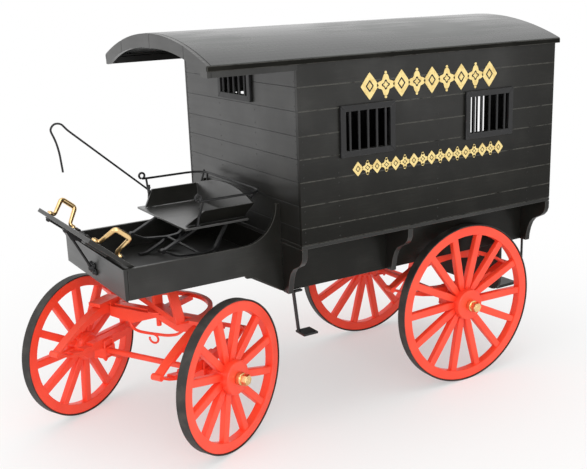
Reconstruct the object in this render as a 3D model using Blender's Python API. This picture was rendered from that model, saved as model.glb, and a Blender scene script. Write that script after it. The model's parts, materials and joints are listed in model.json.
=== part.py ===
"""Jail wagon, a wood and wire scale model: a black barred van over a set-in body, an open driver's
box, and red sprung running gear with the fore-carriage turned to the left. Metres, +Z up, the
front looks toward -Y and the wagon's left side toward +X."""

import math

import bmesh
import bpy
from mathutils import Matrix, Vector

MM = 0.001
GAP = 0.3 * MM  # what touching pieces keep between them

# Wheels and axles
REAR_WHEEL_R = 76.2 * MM
FRONT_WHEEL_R = 64.3 * MM
TYRE_WIDTH = 9.0 * MM
TYRE_THICK = 1.6 * MM
FELLOE_DEPTH = 8.0 * MM
FELLOE_WIDTH = 8.0 * MM
DISH = 3.0 * MM  # how far the spoke feet stand inboard of the rim
SPOKE_WIDE = 6.8 * MM
SPOKE_THICK = 6.0 * MM
HUB_R = 14.5 * MM
AXLE_R = 2.6 * MM
SPINDLE_R = 2.2 * MM
REAR_SPOKES = 14
FRONT_SPOKES = 12
REAR_AXLE_Y = 138.8 * MM
KING_PIN_Y = -136.5 * MM
AXLE_LEAD = 12.8 * MM  # the front axle lies this far ahead of the king pin
STEER_REST = math.radians(28.5)  # the fore-carriage as it stands in the photograph

# Set-in body and driver's box
BODY_HALF = 68.6 * MM
WHEEL_X = BODY_HALF + 12.9 * MM  # mid-plane of the rims, clear of the body's sides
WALL = 3.0 * MM
BOX_FRONT_Y = -189.5 * MM
BOX_BOTTOM_Z = 143.0 * MM
BOX_TOP_Z = 168.0 * MM
THROAT_Y = -86.5 * MM
WELL_BOTTOM_Z = 122.5 * MM
CHEEK_TOP_Z = 199.0 * MM
CHEEK_R = 31.0 * MM
BRACKET_MIDDLE_Y = 56.0 * MM

# Van
VAN_HALF = 101.0 * MM
VAN_FRONT_Y = -51.0 * MM
VAN_REAR_Y = 224.7 * MM
VAN_BOTTOM_Z = 166.0 * MM
VAN_TOP_Z = 314.0 * MM
ROOF_HALF = 102.6 * MM
ROOF_RISE = 20.5 * MM
ROOF_THICK = 3.0 * MM
ROOF_FRONT_Y = -126.8 * MM
ROOF_REAR_Y = 228.4 * MM
FASCIA_THICK = 3.0 * MM
FASCIA_DROP = 9.0 * MM
WINDOW_Z = (241.0 * MM, 272.5 * MM)
WINDOW_Y = ((-8.0 * MM, 36.0 * MM), (122.5 * MM, 167.0 * MM))
FRONT_WINDOW_HALF = 24.0 * MM
FRONT_WINDOW_Z = (283.0 * MM, 304.0 * MM)
FRAME_EDGE = 5.0 * MM
FRAME_PROUD = 2.4 * MM
BAR_R = 1.1 * MM
BARS = 5
DOOR_HALF = 33.0 * MM
DOOR_Z = (170.0 * MM, 300.0 * MM)
DOOR_THICK = 3.0 * MM
DOOR_WINDOW_Z = (246.0 * MM, 274.0 * MM)
DOOR_WINDOW_HALF = 15.0 * MM
HINGE_R = 1.7 * MM
HINGE_X = DOOR_HALF + 2.5 * MM
HINGE_Y = VAN_REAR_Y + 2.2 * MM
HINGE_Z = (DOOR_Z[0] + 22.0 * MM, DOOR_Z[1] - 14.0 * MM)

# Toe board, seat and irons
TOE_ANGLE = math.radians(39.7)
TOE_LENGTH = 51.0 * MM
TOE_HALF = BODY_HALF - 4.6 * MM
TOE_THICK = 3.4 * MM
TOE_FRONT_Y = -211.0 * MM
TOE_FRONT_Z = 195.0 * MM
HANDLE_R = 1.8 * MM
HANDLE_LIFT = 17.0 * MM
SEAT_HALF = 50.0 * MM
SEAT_FRONT_Y = -128.5 * MM
SEAT_REAR_Y = -71.0 * MM
SEAT_Z = 186.0 * MM
SEAT_THICK = 1.8 * MM
PANEL_RISE = 13.2 * MM
PANEL_FLARE = 11.0 * MM
BACK_RISE = 21.0 * MM
RAIL_R = 1.0 * MM
WHIP_R = 0.9 * MM
RAIL_FLARE = 8.0 * MM  # how far the rail stands out past the seat board
RAIL_Z = SEAT_Z + 22.5 * MM
IRON_X = 34.0 * MM

# Running gear
SPRING_X = BODY_HALF - 10.6 * MM
SPRING_HALF = 70.0 * MM
FRONT_SPRING_X = BODY_HALF - 15.1 * MM
FRONT_SPRING_HALF = 59.0 * MM
FRONT_SPRING_TOP = 106.0 * MM
LEAF_WIDE = 8.0 * MM
LEAF_THICK = 2.0 * MM
EYE_R = 2.7 * MM
EYE_SHARE = 0.56  # half width of a spring's eye, as a share of its leaf
SEAT_BLOCK = 6.0 * MM  # half length of the flat seat that each spring has on its axle
RING_R = FRONT_SPRING_X - 8.5 * MM
RING_WIDE = 4.0 * MM
RING_THICK = 1.7 * MM
RING_Z = 104.0 * MM
PIN_R = 2.2 * MM
BEAM_DEEP = 4.0 * MM
TRUSS_HALF = 4.0 * MM
STEP_Z = 84.0 * MM


def clear_scene():
    for found in list(bpy.data.objects):
        bpy.data.objects.remove(found)


def paint(name, colour, metallic=0.0, roughness=0.5):
    """A material of its own for one object."""
    made = bpy.data.materials.new(name)
    made.use_nodes = True
    shader = made.node_tree.nodes["Principled BSDF"]
    shader.inputs["Base Color"].default_value = (*colour, 1.0)
    shader.inputs["Metallic"].default_value = metallic
    shader.inputs["Roughness"].default_value = roughness
    made.diffuse_color = (*colour, 1.0)
    return made


BLACK = (0.02, 0.02, 0.022)
RED = (0.8, 0.05, 0.02)
BRASS = (0.8, 0.6, 0.28)
IRON = (0.03, 0.03, 0.032)


def add_object(name, mesh_builder, colour=BLACK, metallic=0.0, roughness=0.5):
    """Turns a bmesh into an object with outward normals."""
    bmesh.ops.recalc_face_normals(mesh_builder, faces=mesh_builder.faces)
    data = bpy.data.meshes.new(name)
    mesh_builder.to_mesh(data)
    mesh_builder.free()
    made = bpy.data.objects.new(name, data)
    bpy.context.scene.collection.objects.link(made)
    data.materials.append(paint(name, colour, metallic, roughness))
    return made


def helper(found):
    found.hide_render = True
    found.display_type = "WIRE"
    return found


def combine(target, other, operation):
    """Joins or cuts target by other, which becomes a hidden helper."""
    helper(other)
    made = target.modifiers.new(operation.title() + " " + other.name, "BOOLEAN")
    made.operation = operation
    made.solver = "EXACT"
    made.object = other
    return target


def fuse(target, *others):
    for other in others:
        combine(target, other, "UNION")
    return target


def cut(target, *others):
    for other in others:
        combine(target, other, "DIFFERENCE")
    return target


def shape_loop(builder, loops, close_ends=True, closed=False):
    """Skins a row of equal loops of points into one surface."""
    rings = [[builder.verts.new(point) for point in loop] for loop in loops]
    count = len(rings[0])
    pairs = list(zip(rings, rings[1:]))
    if closed:
        pairs.append((rings[-1], rings[0]))
    for first, second in pairs:
        for i in range(count):
            j = (i + 1) % count
            builder.faces.new((first[i], first[j], second[j], second[i]))
    if close_ends and not closed:
        builder.faces.new(list(reversed(rings[0])))
        builder.faces.new(rings[-1])


def box(name, low, high, **finish):
    builder = bmesh.new()
    x0, y0, z0 = low
    x1, y1, z1 = high
    floor = [(x0, y0, z0), (x1, y0, z0), (x1, y1, z0), (x0, y1, z0)]
    lid = [(x, y, z1) for x, y, _ in floor]
    shape_loop(builder, [floor, lid])
    return add_object(name, builder, **finish)


def prism(name, outline, axis, start, end, **finish):
    """Extrudes a flat outline along an axis. The outline is in the two other axes, in order."""
    place = {
        "x": lambda u, v, w: (w, u, v),
        "y": lambda u, v, w: (u, w, v),
        "z": lambda u, v, w: (u, v, w),
    }[axis]
    builder = bmesh.new()
    shape_loop(builder, [[place(u, v, w) for u, v in outline] for w in (start, end)])
    return add_object(name, builder, **finish)


def turned(name, profile, sides=28, **finish):
    """Turns a closed outline of (radius, height) points about the Z axis."""
    builder = bmesh.new()
    loops = []
    for i in range(sides):
        angle = 2 * math.pi * i / sides
        c, s = math.cos(angle), math.sin(angle)
        loops.append([(r * c, r * s, h) for r, h in profile])
    shape_loop(builder, loops, closed=True)
    return add_object(name, builder, **finish)


def spun(name, profile, sides=24, **finish):
    """Turns an open outline whose two ends lie on the Z axis, so it closes to a solid."""
    builder = bmesh.new()
    top = builder.verts.new((0, 0, profile[0][1]))
    end = builder.verts.new((0, 0, profile[-1][1]))
    rings = []
    for r, h in profile[1:-1]:
        ring = []
        for i in range(sides):
            angle = 2 * math.pi * i / sides
            ring.append(builder.verts.new((r * math.cos(angle), r * math.sin(angle), h)))
        rings.append(ring)
    for i in range(sides):
        j = (i + 1) % sides
        builder.faces.new((top, rings[0][i], rings[0][j]))
        builder.faces.new((end, rings[-1][j], rings[-1][i]))
        for first, second in zip(rings, rings[1:]):
            builder.faces.new((first[i], second[i], second[j], first[j]))
    return add_object(name, builder, **finish)


def round_bar(radius, low, high):
    """The outline of a plain round bar, for spun."""
    return [(0, low), (radius, low), (radius, high), (0, high)]


def rounded_path(points, radius, steps=4):
    """The polyline with each corner replaced by a short arc."""
    points = [Vector(p) for p in points]
    path = [points[0]]
    for before, corner, after in zip(points, points[1:], points[2:]):
        back, ahead = before - corner, after - corner
        reach = min(radius, back.length * 0.45, ahead.length * 0.45)
        first, last = corner + back.normalized() * reach, corner + ahead.normalized() * reach
        for i in range(steps + 1):
            t = i / steps
            path.append(first.lerp(corner, t).lerp(corner.lerp(last, t), t))
    path.append(points[-1])
    return path


def frames_along(path, closed):
    """Direction, side and up at each point, turned as little as possible along the way."""
    count = len(path)
    found = []
    side = None
    for i in range(count):
        before = path[i - 1] if i or closed else path[i]
        after = path[(i + 1) % count] if i < count - 1 or closed else path[i]
        ahead = (after - before).normalized()
        if side is None:
            side = ahead.orthogonal().normalized()
            if abs(ahead.z) < 0.9:
                side = ahead.cross(Vector((0, 0, 1))).normalized()
        side = (side - ahead * side.dot(ahead)).normalized()
        found.append((ahead, side, side.cross(ahead)))
    return found


def rod(name, points, radius, sides=8, bend=0.0, closed=False, flat=1.0, **finish):
    """A round or flattened bar along a path."""
    path = rounded_path(points, bend) if bend else [Vector(p) for p in points]
    builder = bmesh.new()
    loops = []
    for place, (_, side, up) in zip(path, frames_along(path, closed)):
        ring = []
        for i in range(sides):
            angle = 2 * math.pi * (i + 0.5) / sides
            across, over = radius * math.cos(angle), radius * flat * math.sin(angle)
            ring.append(place + side * across + up * over)
        loops.append(ring)
    shape_loop(builder, loops, closed=closed)
    return add_object(name, builder, **finish)


def strap(name, points, wide, thick, bend=0.0, across=Vector((1, 0, 0)), **finish):
    """A flat bar along a path, its width along a fixed direction."""
    path = rounded_path(points, bend) if bend else [Vector(p) for p in points]
    builder = bmesh.new()
    loops = []
    count = len(path)
    for i, place in enumerate(path):
        ahead = (path[min(i + 1, count - 1)] - path[max(i - 1, 0)]).normalized()
        normal = ahead.cross(across).normalized() * thick / 2
        half = across * wide / 2
        under, over = place - normal, place + normal
        loops.append([under - half, under + half, over + half, over - half])
    shape_loop(builder, loops)
    return add_object(name, builder, **finish)


def arc(centre, radius, start, end, steps):
    """Points of an arc in a plane, angles in degrees."""
    made = []
    for i in range(steps + 1):
        angle = math.radians(start + (end - start) * i / steps)
        made.append((centre[0] + radius * math.cos(angle), centre[1] + radius * math.sin(angle)))
    return made


# Roof line: one circular arc through the eaves and the ridge

EAVE_Z = VAN_TOP_Z + ROOF_THICK
ROOF_RADIUS = (ROOF_HALF**2 + ROOF_RISE**2) / (2 * ROOF_RISE)
ROOF_CENTRE_Z = EAVE_Z + ROOF_RISE - ROOF_RADIUS


def roof_height(x, below=0.0):
    """Height of the roof's upper face, or of a face that lies below it."""
    return ROOF_CENTRE_Z + math.sqrt((ROOF_RADIUS - below) ** 2 - x * x)


def roof_line(half, below, steps=16):
    """Points of the roof's curve from -half to half."""
    made = []
    for i in range(steps + 1):
        x = -half + 2 * half * i / steps
        made.append((x, roof_height(x, below)))
    return made


# Set-in body and driver's box


def sill_side(name, side):
    """One long side board: driver's box, cheek that sweeps up to the van, and well below it."""
    low_van = VAN_BOTTOM_Z - GAP
    outline = [(BOX_FRONT_Y + WALL + GAP, BOX_BOTTOM_Z), (THROAT_Y, BOX_BOTTOM_Z)]
    outline.append((THROAT_Y + 1.5 * MM, BOX_BOTTOM_Z - 2.5 * MM))
    outline.append((THROAT_Y + 9.5 * MM, BOX_BOTTOM_Z - 3.2 * MM))
    outline.append((VAN_FRONT_Y + 1.0 * MM, WELL_BOTTOM_Z))
    outline.append((VAN_REAR_Y, WELL_BOTTOM_Z))
    outline.append((VAN_REAR_Y, low_van))
    outline.append((VAN_FRONT_Y - GAP, low_van))
    outline.append((VAN_FRONT_Y - GAP, CHEEK_TOP_Z))
    rim = VAN_FRONT_Y - 4.0 * MM
    outline += arc((rim - CHEEK_R, BOX_TOP_Z + CHEEK_R), CHEEK_R, 0, -90, 10)
    outline.append((BOX_FRONT_Y + WALL + GAP, BOX_TOP_Z))
    inner, outer = BODY_HALF - WALL, BODY_HALF
    return prism(name, outline, "x", side * inner, side * outer)


def body_boards():
    """Front, floors and cross walls between the two side boards."""
    inner = BODY_HALF - WALL - GAP
    box(
        "box_front",
        (-BODY_HALF, BOX_FRONT_Y, BOX_BOTTOM_Z),
        (BODY_HALF, BOX_FRONT_Y + WALL, BOX_TOP_Z),
    )
    # The floor runs back under the seat, then breaks down the throat to the well
    front = BOX_FRONT_Y + WALL + GAP
    back = VAN_FRONT_Y - GAP
    low = BOX_BOTTOM_Z + 0.2 * MM
    outline = [(front, low), (THROAT_Y, low), (back, WELL_BOTTOM_Z + 0.4 * MM)]
    outline.append((back, WELL_BOTTOM_Z + 0.4 * MM + WALL * 1.2))
    outline += [(THROAT_Y + WALL * 1.2, low + WALL - 1.2 * MM), (back, low + WALL - 1.2 * MM)]
    outline += [(back, low + WALL), (front, low + WALL)]
    prism("box_floor", outline, "x", -inner, inner)
    start = VAN_FRONT_Y + GAP
    low = WELL_BOTTOM_Z + 0.2 * MM
    floor_top = low + WALL
    top = VAN_BOTTOM_Z - GAP
    well = box("well", (-inner, start, low), (inner, VAN_REAR_Y, floor_top))
    join = floor_top - WALL / 2
    fuse(
        well,
        box("join_well_front", (-inner, start, join), (inner, start + WALL, top)),
        box("join_well_rear", (-inner, VAN_REAR_Y - WALL, join), (inner, VAN_REAR_Y, top)),
    )


def scroll_bracket(name, side, y):
    """An ogee bracket that carries the van's overhang."""
    foot = BODY_HALF + GAP
    top = VAN_BOTTOM_Z - GAP
    rise = VAN_HALF - BODY_HALF
    outline = [(foot, WELL_BOTTOM_Z + 0.2 * MM), (foot, top), (VAN_HALF, top)]
    ogee = [(1.0, 0.85), (0.95, 0.75), (0.84, 0.665), (0.68, 0.605), (0.52, 0.54), (0.41, 0.44)]
    ogee += [(0.33, 0.3), (0.28, 0.14), (0.26, 0.0)]
    drop = top - WELL_BOTTOM_Z - 0.2 * MM
    for across, up in ogee:
        outline.append((BODY_HALF + across * rise, WELL_BOTTOM_Z + 0.2 * MM + up * drop))
    outline = [(side * x, z) for x, z in outline]
    return prism(name, outline, "y", y, y + 5.0 * MM)


# Van


def van_floor():
    top = VAN_BOTTOM_Z + WALL
    made = box("van_floor", (-VAN_HALF, VAN_FRONT_Y, VAN_BOTTOM_Z), (VAN_HALF, VAN_REAR_Y, top))
    inner = BODY_HALF - WALL - 2 * GAP
    hole = box(
        "cut_van_floor",
        (-inner, VAN_FRONT_Y + WALL, VAN_BOTTOM_Z - WALL),
        (inner, VAN_REAR_Y - WALL, top + WALL),
    )
    return cut(made, hole)


def van_side(name, side):
    """A planked side with its two window openings."""
    low = VAN_BOTTOM_Z + WALL + GAP
    made = box(
        name,
        (side * (VAN_HALF - WALL), VAN_FRONT_Y, low),
        (side * VAN_HALF, VAN_REAR_Y, VAN_TOP_Z),
    )
    for i, (y0, y1) in enumerate(WINDOW_Y):
        hole = box(
            f"cut_{name}_{i}",
            (side * (VAN_HALF - 2 * WALL), y0, WINDOW_Z[0]),
            (side * (VAN_HALF + WALL), y1, WINDOW_Z[1]),
        )
        cut(made, hole)
    return made


def end_wall(name, y):
    """A cross wall between the sides, its head cut to the roof's curve."""
    half = VAN_HALF - WALL - GAP
    low = VAN_BOTTOM_Z + WALL + GAP
    head = roof_line(half, ROOF_THICK + GAP)
    outline = [(-half, low)] + head + [(half, low)]
    return prism(name, outline, "y", y, y + WALL)


def van_front():
    made = end_wall("van_front", VAN_FRONT_Y)
    hole = box(
        "cut_van_front",
        (-FRONT_WINDOW_HALF, VAN_FRONT_Y - WALL, FRONT_WINDOW_Z[0]),
        (FRONT_WINDOW_HALF, VAN_FRONT_Y + 2 * WALL, FRONT_WINDOW_Z[1]),
    )
    return cut(made, hole)


def van_rear():
    """The tail wall with its doorway and the two pintles that the door hangs on."""
    made = end_wall("van_rear", VAN_REAR_Y - WALL)
    hole = box(
        "cut_van_rear",
        (-DOOR_HALF, VAN_REAR_Y - 2 * WALL, DOOR_Z[0]),
        (DOOR_HALF, VAN_REAR_Y + WALL, DOOR_Z[1]),
    )
    cut(made, hole)
    for i, z in enumerate(HINGE_Z):
        top = z - HINGE_R - GAP
        pintle = spun(f"join_pintle_{i}", round_bar(HINGE_R, top - 4 * MM, top), sides=12)
        pintle.data.transform(Matrix.Translation((HINGE_X, HINGE_Y, 0)))
        low = (HINGE_X - HINGE_R * 0.7, VAN_REAR_Y - 0.5 * MM, top - 4 * MM)
        high = (HINGE_X + 9 * MM, VAN_REAR_Y + 1.2 * MM, top)
        fuse(made, box(f"join_pintle_plate_{i}", low, high))
        fuse(made, pintle)
    return made


def roof():
    """Bent roof boards with a thin moulding under each eave."""
    top = roof_line(ROOF_HALF, 0.0, 20)
    under = list(reversed(roof_line(ROOF_HALF, ROOF_THICK, 20)))
    return prism("roof", top + under, "y", ROOF_FRONT_Y, ROOF_REAR_Y)


def roof_fascia():
    """The arched bow at the front edge with the valances that run back to the van."""
    head = roof_line(ROOF_HALF, ROOF_THICK + GAP, 20)
    low = EAVE_Z - FASCIA_DROP
    inner_half = ROOF_HALF - 3.5 * MM
    rise = ROOF_RISE - 6.0 * MM
    radius = (inner_half**2 + rise**2) / (2 * rise)
    centre = low + rise - radius
    under = []
    for i in range(21):
        x = inner_half - 2 * inner_half * i / 20
        under.append((x, centre + math.sqrt(radius**2 - x * x)))
    outline = [(-ROOF_HALF, low)] + head + [(ROOF_HALF, low)] + under
    made = prism("roof_fascia", outline, "y", ROOF_FRONT_Y, ROOF_FRONT_Y + FASCIA_THICK)
    for side in (-1, 1):
        valance = box(
            f"join_valance_{side}",
            (side * (ROOF_HALF - 2.4 * MM), ROOF_FRONT_Y + 1.0 * MM, low),
            (side * ROOF_HALF, VAN_FRONT_Y - GAP, roof_height(ROOF_HALF, ROOF_THICK + GAP) - 0.2 * MM),
        )
        fuse(made, valance)
    y = (ROOF_FRONT_Y + VAN_FRONT_Y) / 2
    half = ROOF_HALF - 1.0 * MM
    head = roof_line(half, ROOF_THICK + GAP, 16)
    under = list(reversed(roof_line(half, ROOF_THICK + 6.0 * MM, 16)))
    return fuse(made, prism("join_roof_rib", head + under, "y", y, y + 3.0 * MM))


def barred_window(name, half_wide, low, high, colour=BLACK):
    """A proud picture frame with round bars, standing in the XZ plane and facing -Y."""
    edge = FRAME_EDGE
    corner = (half_wide + edge, -GAP, high + edge)
    frame = box(name, (-half_wide - edge, -FRAME_PROUD, low - edge), corner, colour=colour)
    hole = box(f"cut_{name}", (-half_wide, -2 * FRAME_PROUD, low), (half_wide, FRAME_PROUD, high))
    cut(frame, hole)
    step = 2 * half_wide / BARS
    middle = -FRAME_PROUD / 2 - GAP / 2
    for i in range(BARS):
        x = -half_wide + step * (i + 0.5)
        ends = [(x, middle, low - edge / 2), (x, middle, high + edge / 2)]
        bar = rod(f"join_{name}_{i}", ends, BAR_R, sides=8)
        fuse(frame, bar)
    return frame


def turn_to(side):
    """A turn that sends the -Y face of a window to the left or the right side of the van."""
    return Matrix.Rotation(side * math.pi / 2, 4, "Z")


def side_windows():
    for side, label in ((1, "left"), (-1, "right")):
        for (y0, y1), place in zip(WINDOW_Y, ("front", "rear")):
            made = barred_window(f"window_{label}_{place}", (y1 - y0) / 2, *WINDOW_Z)
            matrix = Matrix.Translation((side * VAN_HALF, (y0 + y1) / 2, 0)) @ turn_to(side)
            place_group(made, matrix)


def place_group(found, matrix):
    """Places an object and the helpers of its modifiers together."""
    for modifier in found.modifiers:
        modifier.object.matrix_world = matrix
    found.matrix_world = matrix


def front_window():
    made = barred_window("window_front", FRONT_WINDOW_HALF, *FRONT_WINDOW_Z)
    place_group(made, Matrix.Translation((0, VAN_FRONT_Y, 0)))


def rear_door():
    """A ledged door with a barred opening, hung on two straps at its left edge seen from behind."""
    clear = 0.6 * MM
    y0, y1 = VAN_REAR_Y - DOOR_THICK + 0.8 * MM, VAN_REAR_Y + 0.8 * MM
    wide = DOOR_HALF - clear
    leaf = box("rear_door", (-wide, y0, DOOR_Z[0] + clear), (wide, y1, DOOR_Z[1] - clear))
    half = DOOR_WINDOW_HALF
    cut(
        leaf,
        box("cut_rear_door", (-half, y0 - WALL, DOOR_WINDOW_Z[0]), (half, y1 + WALL, DOOR_WINDOW_Z[1])),
    )
    for i, z in enumerate(HINGE_Z):
        corner = (HINGE_X, y1 + 1.2 * MM, z + 5 * MM)
        strapped = box(f"join_door_strap_{i}", (-24 * MM, y1 - 0.5 * MM, z), corner)
        low, high = z - HINGE_R, z + 5 * MM + HINGE_R / 2
        barrel = spun(f"join_door_barrel_{i}", round_bar(HINGE_R, low, high), sides=12)
        barrel.data.transform(Matrix.Translation((HINGE_X, HINGE_Y, 0)))
        fuse(leaf, strapped, barrel)
    middle = (y0 + y1) / 2
    for i in range(3):
        x = half * (i - 1) / 2
        ends = [(x, middle, DOOR_WINDOW_Z[0] - 2 * MM), (x, middle, DOOR_WINDOW_Z[1] + 2 * MM)]
        fuse(leaf, rod(f"join_door_bar_{i}", ends, BAR_R, sides=8))
    low = (-DOOR_HALF + 3 * MM, y1 - 0.5 * MM, 222 * MM)
    return fuse(leaf, box("join_hasp", low, (-DOOR_HALF + 11 * MM, y1 + 1.4 * MM, 227 * MM)))


# Toe board, handles, seat


def toe_point(along, off=0.0):
    """(y, z) of a point on the toe board: along runs up from its front edge's foot, off is square to it."""
    y = TOE_FRONT_Y + along * math.cos(TOE_ANGLE) + off * math.sin(TOE_ANGLE)
    z = TOE_FRONT_Z - along * math.sin(TOE_ANGLE) + off * math.cos(TOE_ANGLE)
    return (y, z)


def toe_board():
    """The sloping foot board with two battens under it."""
    outline = [toe_point(0), toe_point(TOE_LENGTH)]
    outline += [toe_point(TOE_LENGTH, -TOE_THICK), toe_point(0, -TOE_THICK)]
    made = prism("toe_board", outline, "x", -TOE_HALF, TOE_HALF)
    for i, side in enumerate((-1, 1)):
        batten = [toe_point(5 * MM, -TOE_THICK + 0.5 * MM), toe_point(26 * MM, -TOE_THICK + 0.5 * MM)]
        batten += [toe_point(26 * MM, -TOE_THICK - 2 * MM), toe_point(5 * MM, -TOE_THICK - 2 * MM)]
        x = side * 44 * MM
        fuse(made, prism(f"join_batten_{i}", batten, "x", x - 4 * MM, x + 4 * MM))
    return made


def toe_brace():
    """The stay that holds the toe board off the front panel."""
    y, z = toe_point(10 * MM, -TOE_THICK - GAP)
    face = BOX_FRONT_Y - GAP
    plate = [toe_point(4 * MM, -TOE_THICK - GAP), toe_point(20 * MM, -TOE_THICK - GAP)]
    plate += [toe_point(20 * MM, -TOE_THICK - GAP - 1.5 * MM), toe_point(12 * MM, -TOE_THICK - GAP - 5 * MM)]
    plate += [toe_point(4 * MM, -TOE_THICK - GAP - 1.5 * MM)]
    made = prism("toe_brace", plate, "x", -4.5 * MM, 4.5 * MM, colour=IRON)
    stay = rod("join_toe_stay", [(0, y, z - 3 * MM), (0, face - 2 * MM, 154 * MM)], 1.1 * MM, sides=8)
    foot = box("join_toe_foot", (-6 * MM, face - 3.0 * MM, 149 * MM), (6 * MM, face, 158 * MM))
    return fuse(made, stay, foot)


def toe_handle(name, side):
    """A brass staple handle that runs up the slope, leaning outward."""
    x = side * (TOE_HALF - 7 * MM)
    lean = side * 7 * MM
    rest = HANDLE_R + GAP
    foot = TOE_LENGTH - 2.5 * MM
    stations = [(0.3 * MM, rest), (4.5 * MM, rest), (7.5 * MM, HANDLE_LIFT)]
    stations += [(foot - 11 * MM, HANDLE_LIFT), (foot - 8 * MM, rest), (foot, rest)]
    points = []
    for along, off in stations:
        y, z = toe_point(along, off)
        points.append((x + lean * (off - rest) / (HANDLE_LIFT - rest), y, z))
    return rod(name, points, HANDLE_R, sides=10, bend=4 * MM, colour=BRASS, metallic=1.0, roughness=0.3)


def seat_board():
    return box(
        "seat_board",
        (-SEAT_HALF, SEAT_FRONT_Y, SEAT_Z - SEAT_THICK),
        (SEAT_HALF, SEAT_REAR_Y, SEAT_Z),
    )


def seat_panels():
    """Flared side panels and an arched back that leans to the rear, joined at the corners."""
    foot = SEAT_Z + GAP
    flare = PANEL_FLARE
    thick = 2.0 * MM
    x0 = SEAT_HALF - 7.0 * MM
    front, rear = SEAT_FRONT_Y + 4.0 * MM, SEAT_REAR_Y - 0.5 * MM
    lean = 5.0 * MM
    top = SEAT_Z + PANEL_RISE
    made = None
    for side in (-1, 1):
        builder = bmesh.new()
        low = [(side * x0, front, foot), (side * (x0 - thick), front, foot)]
        low += [(side * (x0 - thick), rear, foot), (side * x0, rear, foot)]
        wide = x0 + flare
        high = [(side * wide, front + 12 * MM, top), (side * (wide - thick), front + 12 * MM, top)]
        high += [(side * (wide - thick), rear + lean, top), (side * wide, rear + lean, top)]
        shape_loop(builder, [low, high])
        if made is None:
            made = add_object("seat_panels", builder)
        else:
            fuse(made, add_object("join_seat_side", builder))
    head = []
    for i in range(13):
        share = i / 6 - 1
        head.append((-share * (x0 + flare * 0.92), top + (BACK_RISE - PANEL_RISE) * (1 - share * share)))
    back = prism("join_seat_back", [(-x0, foot), (x0, foot)] + head, "y", rear - thick, rear)
    slope = Matrix.Identity(4)
    slope[1][2] = lean / (top - foot)
    back.data.transform(Matrix.Translation((0, 0, foot)) @ slope @ Matrix.Translation((0, 0, -foot)))
    return fuse(made, back)


def seat_rail():
    """A wire rail round the seat on short posts, with a scroll at each front end."""
    wide = SEAT_HALF + RAIL_FLARE
    front, rear = SEAT_FRONT_Y + 14 * MM, SEAT_REAR_Y + 11.0 * MM
    curl = arc((front - 4.5 * MM, RAIL_Z + 2.9 * MM), 2.6 * MM, 250, -90, 10)
    ends = [Vector((-wide, y, z)) for y, z in curl]
    back = [Vector((wide, y, z)) for y, z in reversed(curl)]
    bend = 16 * MM
    corner_left = rounded_path([(-wide, front, RAIL_Z), (-wide, rear, RAIL_Z), (0, rear, RAIL_Z)], bend)
    corner_right = rounded_path([(0, rear, RAIL_Z), (wide, rear, RAIL_Z), (wide, front, RAIL_Z)], bend)
    made = rod("seat_rail", ends + corner_left[:-1] + corner_right + back, RAIL_R, sides=8, colour=IRON)
    foot = SEAT_Z + GAP
    pad = 1.6 * MM
    x = SEAT_HALF - pad - 0.1 * MM
    y = front - 2 * MM
    under = SEAT_Z - SEAT_THICK - GAP - RAIL_R
    behind = SEAT_REAR_Y + GAP + RAIL_R
    for i, side in enumerate((-1, 1)):
        corner = (side * x + pad, y + pad, foot + 1.2 * MM)
        base = box(f"join_pad_{i}", (side * x - pad, y - pad, foot), corner)
        ends = [(side * x, y, foot + 0.7 * MM), (side * wide, front - 0.6 * MM, RAIL_Z)]
        post = rod(f"join_post_{i}", ends, RAIL_R * 0.95, sides=8)
        # The rear stay goes down behind the back and hooks under the board
        reach = side * (SEAT_HALF - 10 * MM)
        stay = [(side * (wide - 12 * MM), rear, RAIL_Z), (reach, behind + 5.5 * MM, SEAT_Z + 12 * MM)]
        stay += [(reach, behind, SEAT_Z), (reach, behind, under), (reach, behind - 8 * MM, under)]
        fuse(made, base, post, rod(f"join_stay_{i}", stay, RAIL_R * 0.95, sides=8, bend=2 * MM))
    return made


def seat_irons():
    """Forked irons under both ends of the seat, with flat feet on the floor and a rod between them."""
    floor = BOX_BOTTOM_Z + 0.2 * MM + WALL + GAP
    under = SEAT_Z - SEAT_THICK - GAP
    wide, thick = 4.0 * MM, 1.6 * MM
    t = thick / 2
    front = SEAT_FRONT_Y
    eye = (front - 13.5 * MM, floor + 20 * MM)
    knee = (front + 19.5 * MM, floor + 12 * MM)
    made = rod("seat_irons", [(-IRON_X, *knee), (IRON_X, *knee)], 1.2 * MM, colour=IRON)
    for i, x in enumerate((-IRON_X, IRON_X)):
        upper = [eye, (front + 22 * MM, under - t), (front + 30 * MM, under - t)]
        lower = [eye, (front - 2 * MM, floor + 14 * MM), knee, (front + 32 * MM, floor + 13 * MM)]
        lower += [(SEAT_REAR_Y - 11 * MM, under - t), (SEAT_REAR_Y - 4 * MM, under - t)]
        foot = [(front - 8 * MM, floor + t), (front - 1 * MM, floor + t)]
        foot += [(front + 14.5 * MM, floor + 8 * MM), knee]
        hind = [(front + 10 * MM, floor + t), (front + 17 * MM, floor + t), (front + 31 * MM, floor + 6 * MM)]
        hind.append((front + 38 * MM, floor + 22.5 * MM))
        for j, path in enumerate((upper, lower, foot, hind)):
            bar = [(x, y, z) for y, z in path]
            # Each strap is a little thinner than the last, so that no two faces coincide
            fuse(made, strap(f"join_iron_{i}_{j}", bar, wide, thick * (1 - 0.02 * j), bend=4 * MM))
        roll = spun(f"join_eye_{i}", round_bar(2.0 * MM, -wide * 0.55, wide * 0.55), sides=12)
        roll.data.transform(Matrix.Translation((x, *eye)) @ Matrix.Rotation(math.pi / 2, 4, "Y"))
        fuse(made, roll)
    return made


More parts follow.
